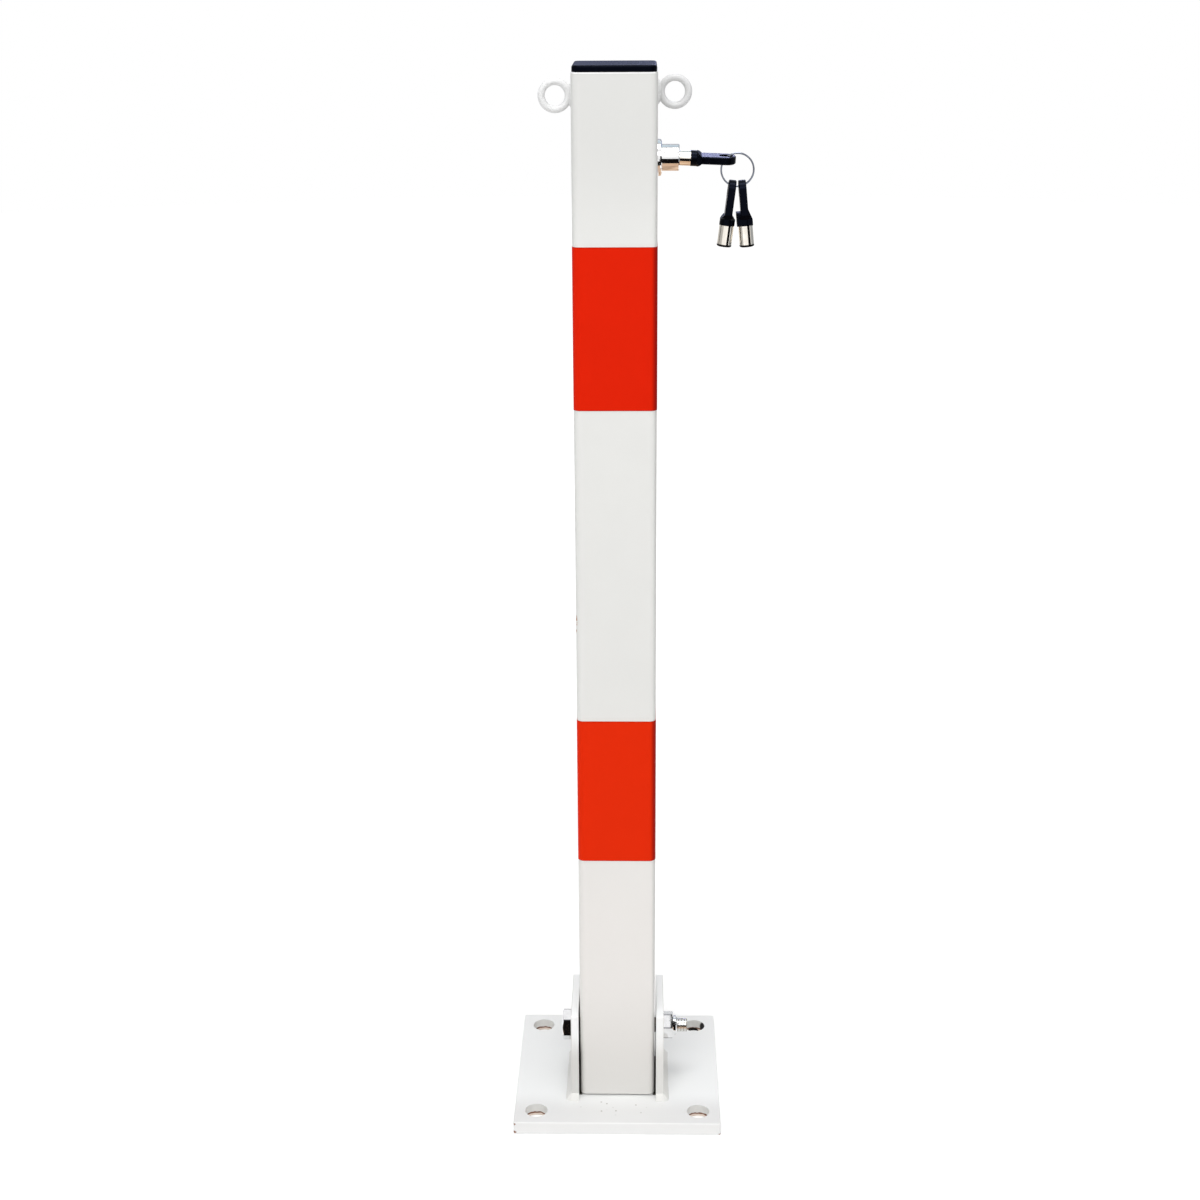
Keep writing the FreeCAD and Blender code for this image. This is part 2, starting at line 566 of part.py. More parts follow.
def key_head():
    """Moulded key head: a round collar that flattens into a paddle with a round end and a ring slot."""
    start = KEY_BARREL_LENGTH
    collar_end = start + KEY_COLLAR_LENGTH
    taper_end = collar_end + KEY_TAPER_LENGTH
    half = KEY_PADDLE_WIDTH / 2
    thin = KEY_PADDLE_THICKNESS / 2
    r = KEY_COLLAR_DIAMETER / 2
    plan = [
        (collar_end, r), (collar_end, -r), (taper_end, -half), (KEY_LENGTH - half, -half),
        (KEY_LENGTH - half, half, KEY_LENGTH, 0), (taper_end, half),
    ]
    paddle = Part.Face(closed_outline(plan, lambda x, y: point(x, y, -r))).extrude(point(0, 0, 2 * r))
    side = [
        (collar_end, -r), (taper_end, -thin), (KEY_LENGTH, -thin),
        (KEY_LENGTH, thin), (taper_end, thin), (collar_end, r),
    ]
    edge_on = Part.Face(closed_outline(side, lambda x, z: point(x, -half, z))).extrude(point(0, 2 * half, 0))
    paddle = paddle.common(edge_on)
    flat_edges = edges_at(paddle, "Z", thin) + edges_at(paddle, "Z", -thin)
    paddle = paddle.makeChamfer(KEY_PADDLE_BEVEL, [e for e in flat_edges if e.BoundBox.XLength > thin])
    widening = Part.makeCone(r, r + KEY_LENGTH, KEY_LENGTH, point(collar_end, 0, 0), X_AXIS)
    head = paddle.common(widening).fuse(rod_along_x(start, collar_end, r, 0, 0)).removeSplitter()
    slot_half = KEY_SLOT_WIDTH / 2
    slot_end = KEY_LENGTH - KEY_SLOT_WEB - slot_half
    slot_start = KEY_LENGTH - KEY_SLOT_WEB - KEY_SLOT_LENGTH + slot_half
    for x in (slot_start, slot_end):
        head = head.cut(Part.makeCylinder(slot_half, 2 * r, point(x, 0, -r)))
    head = head.cut(block((slot_start, slot_end), (-slot_half, slot_half), (-r, r)))
    spigot_end = start + KEY_SPIGOT_LENGTH
    return head.cut(rod_along_x(start, spigot_end, KEY_SPIGOT_DIAMETER / 2, 0, 0))


def squared_key_head():
    """Key head whose foot is a block, seen edge-on: a square step at one side and a slope at the other."""
    start = KEY_BARREL_LENGTH
    thin = KEY_PADDLE_THICKNESS / 2
    outline = [
        (start, -SHOULDER_SLOPE_REACH), (start + SHOULDER_SLOPE_START, -SHOULDER_SLOPE_REACH),
        (start + SHOULDER_SLOPE_LENGTH, -thin), (start + SHOULDER_SLOPE_LENGTH, 0),
        (start + SHOULDER_SQUARE_LENGTH, 0), (start + SHOULDER_SQUARE_LENGTH, SHOULDER_SQUARE_REACH),
        (start, SHOULDER_SQUARE_REACH),
    ]
    half = SHOULDER_WIDTH / 2
    side = Part.Face(closed_outline(outline, lambda x, z: point(x, -half, z)))
    foot = side.extrude(point(0, SHOULDER_WIDTH, 0))
    foot = foot.makeChamfer(SHOULDER_EDGE_BEVEL, edges_at(foot, "Y", -half) + edges_at(foot, "Y", half))
    spigot_end = start + KEY_SPIGOT_LENGTH
    foot = foot.cut(rod_along_x(start, spigot_end, KEY_SPIGOT_DIAMETER / 2, 0, 0))
    return key_head().fuse(foot).removeSplitter()


def in_the_lock(piece):
    """Puts a key piece in the lock: turned a little, drooping a little, its barrel in the keyway."""
    piece.rotate(point(0, 0, 0), X_AXIS, KEY_TURN)
    piece.rotate(point(KEY_INSERTED / 2, 0, 0), Y_AXIS, KEY_DROOP)
    piece.translate(point(PLUNGER_FACE_X - KEY_INSERTED, POST_Y, LOCK_Z))
    return piece


def hung_on_ring(piece, along, tilt):
    """Hangs a key piece on the split ring, at an angle along it from its lowest point, with its own tilt."""
    angle = math.radians(along)
    wire_x = RING_X + RING_RADIUS * math.sin(angle)
    wire_z = RING_Z - RING_RADIUS * math.cos(angle)
    hook = KEY_LENGTH - KEY_SLOT_WEB - RING_WIRE_HEIGHT / 2 - KEY_HANG_GAP
    piece.translate(point(-hook, 0, 0))
    piece.rotate(point(0, 0, 0), Y_AXIS, -90 - math.copysign(tilt, along))
    piece.translate(point(wire_x, POST_Y, wire_z))
    return piece


def key_ring():
    """Split ring: two turns of flat wire side by side, each with a split, in an upright plane."""
    centre = point(RING_X, POST_Y, RING_Z)
    turns = []
    for side in (-1, 1):
        inner = -side * RING_TURN_OVERLAP / 2
        a = RING_WIRE_HEIGHT / 2
        r = RING_EDGE_BEVEL
        edge = side * RING_WIRE_WIDTH
        groove = side * r
        corners = [
            (-a + r, inner), (a - r, inner), (a, inner + groove), (a, edge - groove),
            (a - r, edge), (-a + r, edge), (-a, edge - groove), (-a, inner + groove),
        ]
        section = closed_outline(corners, lambda u, v: point(RING_X + RING_RADIUS + u, POST_Y + v, RING_Z))
        turn = Part.Face(section).revolve(centre, Y_AXIS, 360)
        width = (POST_Y + inner, POST_Y + edge)
        split = block((RING_X, RING_X + 2 * RING_RADIUS), width, (RING_Z, RING_Z + RING_SPLIT_WIDTH))
        split.rotate(centre, Y_AXIS, -RING_SPLIT_ANGLE + side * RING_SPLIT_SPREAD / 2)
        turns.append(turn.cut(split))
    return turns[0].fuse(turns[1])


def all_pieces():
    """Every piece by its node's name."""
    return {
        "base_plate": base_plate(),
        "left_ear": ear(-1),
        "right_ear": ear(1),
        "left_ear_weld": ear_weld(-1),
        "right_ear_weld": ear_weld(1),
        "pivot_bolt": pivot_bolt(),
        "pivot_nut": pivot_nut(),
        "nut_insert": nut_insert(),
        "pivot_sleeve": pivot_sleeve(),
        "lock_bar": lock_bar(),
        "bar_eye": bar_eye(),
        "post_tube": post_tube(),
        "bar_guide": bar_guide(),
        "top_cap": top_cap(),
        "left_eyelet": eyelet(-1, LEFT_EYELET_BELOW_RIM),
        "right_eyelet": eyelet(1, RIGHT_EYELET_BELOW_RIM),
        "left_eyelet_weld": eyelet_weld(-1, LEFT_EYELET_BELOW_RIM),
        "right_eyelet_weld": eyelet_weld(1, RIGHT_EYELET_BELOW_RIM),
        "upper_red_band": red_band(UPPER_BAND_BELOW_RIM),
        "lower_red_band": red_band(LOWER_BAND_BELOW_RIM),
        "lock_housing": lock_housing(),
        "lock_ring_nut": lock_ring_nut(),
        "lock_spring": lock_spring(),
        "lock_plunger": lock_plunger(),
        "lock_pin": lock_pin(),
        "lock_core": lock_core(),
        "key_barrel": in_the_lock(key_barrel()),
        "key_head": in_the_lock(key_head()),
        "key_ring": key_ring(),
        "left_spare_barrel": hung_on_ring(key_barrel(), LEFT_KEY_ALONG_RING, LEFT_KEY_TILT),
        "left_spare_head": hung_on_ring(key_head(), LEFT_KEY_ALONG_RING, LEFT_KEY_TILT),
        "right_spare_barrel": hung_on_ring(key_barrel(), RIGHT_KEY_ALONG_RING, RIGHT_KEY_TILT),
        "right_spare_head": hung_on_ring(squared_key_head(), RIGHT_KEY_ALONG_RING, RIGHT_KEY_TILT),
    }


os.makedirs("parts", exist_ok=True)
for name, piece in all_pieces().items():
    piece.exportStep("parts/" + name + ".step")
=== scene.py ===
import math

import bpy
import numpy as np
from mathutils import Matrix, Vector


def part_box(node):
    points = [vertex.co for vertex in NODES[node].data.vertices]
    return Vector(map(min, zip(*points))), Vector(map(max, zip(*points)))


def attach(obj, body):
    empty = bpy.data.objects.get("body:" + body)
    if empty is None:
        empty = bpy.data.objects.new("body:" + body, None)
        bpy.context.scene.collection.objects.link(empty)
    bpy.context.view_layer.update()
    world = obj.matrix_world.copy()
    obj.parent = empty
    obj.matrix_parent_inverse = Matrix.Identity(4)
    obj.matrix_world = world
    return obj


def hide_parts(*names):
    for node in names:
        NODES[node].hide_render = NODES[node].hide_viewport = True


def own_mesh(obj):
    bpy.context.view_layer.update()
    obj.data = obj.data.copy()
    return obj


bl_info = {
    "name": "Fold-down Bollard Finishes",
    "version": (1, 0, 0),
    "blender": (4, 5, 0),
    "location": "3D View > Sidebar > Bollard",
    "description": "Paint, film, plating, weld beads, bolt, spring and studio for a fold-down post",
    "category": "Object",
}

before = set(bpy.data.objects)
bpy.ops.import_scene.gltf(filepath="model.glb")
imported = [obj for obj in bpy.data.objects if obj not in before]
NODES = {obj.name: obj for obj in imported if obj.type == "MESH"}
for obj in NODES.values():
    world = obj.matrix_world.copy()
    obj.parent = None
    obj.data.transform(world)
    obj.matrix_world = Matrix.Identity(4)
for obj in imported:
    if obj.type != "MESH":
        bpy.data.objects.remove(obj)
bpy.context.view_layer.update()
PLATE_LOW, PLATE_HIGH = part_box("base_plate")
TUBE_LOW, TUBE_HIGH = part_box("post_tube")
BOLT_LOW, BOLT_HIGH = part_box("pivot_bolt")
NUT_LOW, NUT_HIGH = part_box("pivot_nut")
EAR_LOW, EAR_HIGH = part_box("right_ear")
SIDES = {"left": -1, "right": 1}

# Middle of the pivot bolt's round, across and up
BOLT_Y = (BOLT_LOW.y + BOLT_HIGH.y) / 2
BOLT_Z = (BOLT_LOW.z + BOLT_HIGH.z) / 2

# Radius of the bolt's thread over its crests
THREAD_CREST = 0.00588

# Turn of the bolt's head and of its nut round their axis, in degrees
HEAD_TURN = 15.0
NUT_TURN = 43.5

# The lock's spring: its wire and its turns
SPRING_WIRE = 0.001
SPRING_TURNS = 4

# Height up to which painted shade darkens the gaps between ears and tube, and where it is full
GAP_SHADE_TOP = 0.060
GAP_SHADE_FULL = 0.046

# Painted light and shade: each eyelet and the left ear as a lighter or darker share of the colour set for its
# kind
EYELET_SHADES = {"left": 1.08, "right": 0.90}
LEFT_EAR_SHADE = 0.90

# Height of the painted dark reflection at the tip of a spare key's barrel
RIM_WIDTH = 0.0018

# Distance of an anchor hole from the plate's middle, along X and along Y, and its radius
HOLE_PLACE = 0.065
HOLE_RADIUS = 0.009

# Angle between two faces from which their edge is sharp
SHARP_ANGLE = math.radians(38)

# The brown scrape at the tube's left front corner: its middle and its half sizes
SCRAPE_PLACE = (TUBE_LOW.x, TUBE_LOW.y + 0.003, 0.4165)
SCRAPE_SIZE = (0.0016, 0.0030, 0.0095)

# The camera: where it stands, what it looks at, and its roll in degrees
CAMERA_PLACE = (0.01903, -1.40672, 0.89759)
CAMERA_TARGET = (-0.01277, 0.0, 0.42144)
CAMERA_ROLL = -0.35

# Height of the floor, a hair under the plate, and of the cards on the ground
FLOOR_HEIGHT = -0.0003
GROUND_HEIGHT = 0.0006

WHITE = (1.0, 1.0, 1.0)


# Settings for the user

def colour_setting(name, owner, default):
    return bpy.props.FloatVectorProperty(
        name=name, description="Colour of " + owner, subtype="COLOR", size=3, min=0.0, max=1.0,
        default=default)


def number_setting(name, description, default, **kind):
    return bpy.props.FloatProperty(name=name, description=description, default=default, min=0.0, **kind)


def length_setting(*setting):
    return number_setting(*setting, unit="LENGTH", subtype="DISTANCE", precision=5)


def factor_setting(*setting):
    return number_setting(*setting, subtype="FACTOR", max=1.0)


def power_setting(*setting):
    return number_setting(*setting, unit="POWER")


class PaintSettings(bpy.types.PropertyGroup):
    """White powder paint on the plate, ears, tube, eyelets and welds."""
    colour: colour_setting("Tube", "the tube", (0.797, 0.797, 0.775))
    # Painted light by height: lighter over the tube's shin, warmer and darker at its foot for warm bounce
    # light from the floor
    shin_colour: colour_setting("Tube's shin", "the tube above its foot", (0.842, 0.822, 0.797))
    foot_colour: colour_setting("Tube's foot", "the tube near the ground", (0.755, 0.742, 0.715))
    # The plate's colour, which, lightened, is also the painted light on the ears' tops
    plate_colour: colour_setting("Plate", "the plate and the ears' tops", (0.895, 0.905, 0.900))
    # Painted shade over the plate's top near its front, which, lightened, is the painted light on its front
    # face
    front_colour: colour_setting("Plate's front", "the plate's front", (0.766, 0.766, 0.760))
    ear_colour: colour_setting("Ears", "the ears", (0.775, 0.77, 0.745))
    eyelet_colour: colour_setting("Eyelets", "the eyelets", (0.74, 0.742, 0.742))
    rust_colour: colour_setting("Rust", "bare steel where paint is missing", (0.34, 0.13, 0.045))
    dirt_colour: colour_setting("Dirt", "specks on the plate", (0.40, 0.39, 0.36))
    # Painted shade: the near black laid in the gaps between ears and tube
    gap_shade_colour: colour_setting("Grime", "the dirt between ears and tube", (0.045, 0.040, 0.032))
    # Heights at which the tube's painted light over the shin and painted bounce light at the foot begin
    foot_height: length_setting("Foot height", "Height below which the paint warms", 0.12)
    shin_height: length_setting("Shin height", "Height below which the paint lightens", 0.32)
    peel_size: length_setting("Orange peel", "Width of one bump in the paint", 0.0016)
    roughness: factor_setting("Roughness", "Roughness of the paint", 0.36)


class BandSettings(bpy.types.PropertyGroup):
    """Red film laid round the tube."""
    upper_colour: colour_setting("Upper band", "the upper band", (0.735, 0.0150, 0.0012))
    lower_colour: colour_setting("Lower band", "the lower band", (0.785, 0.0240, 0.0014))
    edge_width: length_setting("Edge line", "Width of the darker line at a band's edge", 0.0007)
    roughness: factor_setting("Roughness", "Roughness of the film", 0.42)


class PlasticSettings(bpy.types.PropertyGroup):
    """Black moulded plastic of the cap and the key heads."""
    cap_colour: colour_setting("Cap", "the cap", (0.0010, 0.0014, 0.0028))
    key_colour: colour_setting("Key heads", "the key heads", (0.0010, 0.0011, 0.0020))
    sheen_colour: colour_setting("Sheen", "the reflections", (0.40, 0.50, 0.90))
    cap_roughness: factor_setting("Cap roughness", "Roughness of the cap", 0.26)
    key_roughness: factor_setting("Key roughness", "Roughness of the key heads", 0.28)
    cap_gloss: factor_setting("Cap gloss", "Strength of the cap's reflections seen straight on", 0.045)
    key_gloss: factor_setting("Key gloss", "Strength of the key heads' reflections seen straight on", 0.10)
    grain: length_setting("Grain", "Width of one grain of the moulded surface", 0.0004)


class MetalSettings(bpy.types.PropertyGroup):
    """Plated and bare metal of the bolt, lock, keys and ring."""
    zinc_colour: colour_setting("Zinc", "the bolt and nut", (0.88, 0.88, 0.89))
    chrome_colour: colour_setting("Chrome", "the plunger and lock housing", (0.91, 0.91, 0.91))
    nickel_colour: colour_setting("Nickel", "the key barrels and lock core", (0.95, 0.90, 0.82))
    steel_colour: colour_setting("Steel", "the bare steel inside", (0.42, 0.42, 0.43))
    # Painted reflection: the ring's dark blue-grey stands in for the dark surroundings it mirrors
    ring_colour: colour_setting("Ring", "the split ring", (0.24, 0.26, 0.31))
    tarnish_colour: colour_setting("Tarnish", "the yellow tint on zinc", (0.80, 0.70, 0.48))


class WeldSettings(bpy.types.PropertyGroup):
    """Weld beads under the paint."""
    foot_leg: length_setting("Foot bead", "Leg of the bead at an ear's foot", 0.0044)
    eyelet_length: length_setting("Eyelet bead length", "Length of the bead at an eyelet", 0.0175)
    eyelet_radius: length_setting("Eyelet bead width", "Half the width of the bead at an eyelet", 0.0033)
    ripple_pitch: length_setting("Ripple pitch", "Distance from one ripple to the next", 0.0021)
    ripple_height: length_setting("Ripple height", "Height of one ripple", 0.00007)


class ThreadSettings(bpy.types.PropertyGroup):
    """Thread of the pivot bolt."""
    pitch: length_setting("Pitch", "Pitch of the thread", 0.00125)
    depth: length_setting("Depth", "Depth of the thread", 0.0005)


class StudioSettings(bpy.types.PropertyGroup):
    """Floor, lamps and camera."""
    lens: number_setting("Lens", "Focal length in millimetres", 58.054)
    floor_radius: length_setting("Floor", "Radius of the floor", 6.0)
    key_power: power_setting("Key lamp", "Power of the left lamp", 16.0)
    fill_power: power_setting("Fill lamp", "Power of the right lamp", 6.5)
    front_power: power_setting("Front lamp", "Power of the lamp by the camera", 12.0)
    top_power: power_setting("Top lamp", "Power of the upper lamp", 25.5)
    sky_strength: number_setting("Sky", "Strength of the even light", 0.53)
    lift_near: factor_setting("Near lift", "Share of white added to the floor near the part", 0.32)
    lift_far: factor_setting("Far lift", "Share of white added to the floor far away", 0.62)


SETTING_GROUPS = {
    "bollard_paint": PaintSettings,
    "bollard_bands": BandSettings,
    "bollard_plastic": PlasticSettings,
    "bollard_metal": MetalSettings,
    "bollard_welds": WeldSettings,
    "bollard_thread": ThreadSettings,
    "bollard_studio": StudioSettings,
}


# Node graphs

class Graph:
    """A node tree, with short ways to add and join nodes."""

    def __init__(self, tree):
        self.nodes = tree.nodes
        self.links = tree.links
        self.nodes.clear()

    def feed(self, socket, value):
        """Joins a socket to another, or sets it to a plain value."""
        if isinstance(value, bpy.types.NodeSocket):
            self.links.new(value, socket)
        elif socket.type == "RGBA":
            socket.default_value = (*value[:3], 1.0)
        else:
            socket.default_value = value

    def add(self, kind, inputs=None, **settings):
        """A new node with the given settings and inputs."""
        node = self.nodes.new(kind)
        for key, value in settings.items():
            setattr(node, key, value)
        for key, value in (inputs or {}).items():
            self.feed(node.inputs[key], value)
        return node

    def math(self, operation, a, b=0.0):
        return self.add("ShaderNodeMath", {0: a, 1: b}, operation=operation).outputs[0]

    def product(self, first, *others):
        """All values multiplied, 1 only where all masks are 1."""
        for other in others:
            first = self.math("MULTIPLY", first, other)
        return first

    def seen(self):
        """1 for rays from the camera and for those that shiny or clear surfaces send on."""
        path = self.add("ShaderNodeLightPath").outputs
        seen = self.math("MAXIMUM", path["Is Camera Ray"], path["Is Glossy Ray"])
        return self.math("MAXIMUM", seen, path["Is Transmission Ray"])


class Look(Graph):
    """One material's nodes. Positions are in metres, in the object's own frame."""

    def __init__(self, name):
        self.material = bpy.data.materials.new(name)
        self.material.use_nodes = True
        super().__init__(self.material.node_tree)
        self.position = self.add("ShaderNodeTexCoord").outputs["Object"]
        self.x, self.y, self.z = self.add("ShaderNodeSeparateXYZ", {"Vector": self.position}).outputs

    def fade(self, value, start, end):
        """0 at start, 1 at end, smooth between them and level outside."""
        inputs = {"Value": value, "From Min": start, "From Max": end}
        return self.add("ShaderNodeMapRange", inputs, interpolation_type="SMOOTHSTEP").outputs["Result"]

    def between(self, share, low, high):
        """Runs evenly from low to high as the share goes from 0 to 1."""
        inputs = {"Value": share, "To Min": low, "To Max": high}
        return self.add("ShaderNodeMapRange", inputs).outputs["Result"]

    def size(self, value):
        """The value without its sign."""
        return self.math("ABSOLUTE", value)

    def length(self, vector):
        return self.add("ShaderNodeVectorMath", {0: vector}, operation="LENGTH").outputs["Value"]

    def distance(self, a, b):
        """The distance from 0 of a place with the coordinates a and b."""
        return self.math("SQRT", self.math("ADD", self.product(a, a), self.product(b, b)))

    def noise(self, width, detail=2.0, stretch=(1.0, 1.0, 1.0), offset=(0.0, 0.0, 0.0)):
        """Noise whose features are about as wide as width, drawn out along the axes by stretch."""
        scale = [1.0 / (width * s) for s in stretch]
        place = self.add("ShaderNodeMapping", {"Vector": self.position, "Scale": scale, "Location": offset})
        inputs = {"Vector": place.outputs[0], "Scale": 1.0, "Detail": detail}
        return self.add("ShaderNodeTexNoise", inputs).outputs["Fac"]

    def mix(self, factor, a, b):
        """Colour a where factor is 0 and colour b where it is 1."""
        return self.add("ShaderNodeMix", {0: factor, 6: a, 7: b}, data_type="RGBA").outputs[2]

    def spot(self, centre, size, edge=0.5):
        """1 inside an ellipsoid round centre, fading to 0 at its skin."""
        scale = [1.0 / s for s in size]
        shift = [-c / s for c, s in zip(centre, size)]
        place = self.add("ShaderNodeMapping", {"Vector": self.position, "Location": shift, "Scale": scale})
        return self.fade(self.length(place.outputs[0]), 1.0, edge)

    def bump(self, height, distance, normal=None):
        """A surface raised by distance where height is 1, on top of an earlier one if given."""
        inputs = {"Height": height, "Distance": distance, "Strength": 1.0}
        if normal is not None:
            inputs["Normal"] = normal
        return self.add("ShaderNodeBump", inputs).outputs["Normal"]

    def end(self, shader):
        """Makes a shader node the material's surface."""
        self.add("ShaderNodeOutputMaterial", {"Surface": shader.outputs[0]})
        return self.material

    def shade(self, colour, roughness, normal, **others):
        """Ends the graph in one Principled surface. The names of the others have _ for a space."""
        inputs = {"Base Color": colour, "Roughness": roughness, "Normal": normal}
        inputs.update((name.replace("_", " "), value) for name, value in others.items())
        return self.end(self.add("ShaderNodeBsdfPrincipled", inputs))


def scaled(colour, factor):
    """A colour made lighter or darker, with no channel above 1."""
    return tuple(min(1.0, c * factor) for c in colour)


# Finishes

def mottled(look, colour):
    """A colour that wanders by a few percent."""
    return look.mix(look.noise(0.05, 3.0), scaled(colour, 0.985), scaled(colour, 1.012))


def beside_tube(look):
    """1 along the stretch of the ears and the plate that lies beside the tube."""
    soft = 0.0015
    front = look.fade(look.y, TUBE_LOW.y, TUBE_LOW.y + soft)
    return look.product(front, look.fade(look.y, TUBE_HIGH.y, TUBE_HIGH.y - soft))


def front_corner(look, width):
    """1 on the tube's right front corner, over the given width of its front face, where painted shade darkens
    it.
    """
    soft, shallow, deep = 0.0004, 0.0030, 0.0050
    right = look.fade(look.x, TUBE_HIGH.x - width, TUBE_HIGH.x - soft)
    return look.product(right, look.fade(look.y, TUBE_LOW.y + deep, TUBE_LOW.y + shallow))


def paint_surface(look, paint, colour, wear=None, peel_height=0.00004):
    """Powder paint: a soft gloss with an orange peel. Where wear is 1 it is rougher and slightly sunk."""
    sunk, dulled, uneven = 0.0002, 0.35, 0.07
    normal = look.bump(look.noise(paint.peel_size, 1.5), peel_height)
    cloud = look.fade(look.noise(0.012, 3.0), 0.2, 0.8)
    if wear is None:
        roughness = look.between(cloud, paint.roughness, paint.roughness + uneven)
    else:
        normal = look.bump(look.math("SUBTRACT", 1.0, wear), sunk, normal)
        duller = look.math("ADD", look.product(wear, dulled), look.fade(cloud, 0.0, 3.0))
        roughness = look.math("ADD", duller, paint.roughness)
    return look.shade(colour, roughness, normal, Specular_IOR_Level=0.35)


def plain_paint(name, paint, colour):
    """Paint with a finer orange peel and no wear."""
    look = Look(name)
    return paint_surface(look, paint, mottled(look, colour), peel_height=0.00001)


def ear_paint(paint):
    """Paint of the ears: painted light high up but for the outer faces, painted shade over the left ear, and
    painted shade low in the gaps beside the tube.
    """
    look = Look("white_paint_ears")
    # Painted light: the ears' upper faces get a lighter copy of the plate's colour
    pale_start, pale_full = 0.044, 0.072
    side = look.size(look.x)
    within = look.fade(side, EAR_HIGH.x - 0.0002, EAR_HIGH.x - 0.0007)
    light = look.product(within, look.fade(look.z, pale_start, pale_full))
    # Painted shade: the left ear gets a darker copy of the ear paint
    left = look.fade(look.x, 0.001, -0.001)
    left_colour = mottled(look, scaled(paint.ear_colour, LEFT_EAR_SHADE))
    colour = look.mix(left, mottled(look, paint.ear_colour), left_colour)
    colour = look.mix(light, colour, scaled(paint.plate_colour, 1.08))
    # Painted shade on the ears' inner faces, low down in the gap beside the tube
    inner = look.fade(side, EAR_LOW.x + 0.0003, EAR_LOW.x + 0.0001)
    low = look.fade(look.z, GAP_SHADE_TOP, GAP_SHADE_FULL)
    ragged = look.fade(look.noise(0.004, 3.0), 0.18, 0.40)
    gap_shade = look.product(inner, beside_tube(look), low, ragged)
    return paint_surface(look, paint, look.mix(gap_shade, colour, paint.gap_shade_colour))


def tube_paint(paint):
    """Paint of the tube: painted warm bounce light from the floor at the foot, painted light over the shin,
    painted shade near the top, a painted highlight on the top rim, painted shade on the right front corner,
    and a scrape at the left front corner.
    """
    look = Look("white_paint_tube")
    z = look.z
    top = TUBE_HIGH.z
    shin_full, foot_full = 0.16, 0.02
    grey_start, grey_full = top - 0.14, top - 0.04
    colour = mottled(look, paint.colour)
    # Painted light and shade by height: lighter over the shin, warm bounce light at the foot, greyer near the
    # top
    colour = look.mix(look.fade(z, paint.shin_height, shin_full), colour, paint.shin_colour)
    colour = look.mix(look.fade(z, paint.foot_height, foot_full), colour, paint.foot_colour)
    colour = look.mix(look.fade(z, grey_start, grey_full), colour, scaled(paint.colour, 0.90))
    # A painted highlight along the tube's top rim
    colour = look.mix(look.fade(z, top - 0.0010, top - 0.0006), colour, scaled(WHITE, 0.98))
    # Painted shade on the tube's right front corner
    colour = look.mix(front_corner(look, 0.0028), colour, scaled(paint.colour, 0.80))
    ragged = look.fade(look.noise(0.0022, 3.0), 0.42, 0.55)
    scrape = look.product(look.spot(SCRAPE_PLACE, SCRAPE_SIZE), ragged)
    colour = look.mix(scrape, colour, scaled(paint.rust_colour, 1.3))
    return paint_surface(look, paint, colour, scrape)


def corner_chips(look):
    """1 where paint is chipped off the plate's front corners."""
    crumble = look.fade(look.noise(0.0013, 4.0), 0.42, 0.54)
    left_edge = PLATE_LOW.x + 0.0004
    chips = 0.0
    for centre, size in (
        ((left_edge, PLATE_LOW.y, 0.0084), (0.0021, 0.0022, 0.0014)),
        ((left_edge, PLATE_LOW.y, 0.0012), (0.0027, 0.0024, 0.0017)),
        ((PLATE_HIGH.x, PLATE_LOW.y, 0.0004), (0.0026, 0.0024, 0.0011)),
    ):
        chips = look.math("MAXIMUM", chips, look.product(look.spot(centre, size, 0.35), crumble))
    return chips


def plate_specks(look):
    """1 on specks of dirt on the plate before the tube, in some cells of a cell pattern."""
    per_metre = 185.0
    field = look.spot((0.0, PLATE_LOW.y + 0.0225, PLATE_HIGH.z), (0.040, 0.013, 0.004))
    inputs = {"Vector": look.position, "Scale": per_metre, "Randomness": 1.0}
    cells = look.add("ShaderNodeTexVoronoi", inputs).outputs
    chance = look.add("ShaderNodeSeparateColor", {"Color": cells["Color"]}).outputs[0]
    ragged = look.math("ADD", cells["Distance"], look.product(look.noise(0.0008, 2.0), 0.12))
    return look.product(look.fade(ragged, 0.25, 0.14), look.fade(chance, 0.32, 0.38), field)


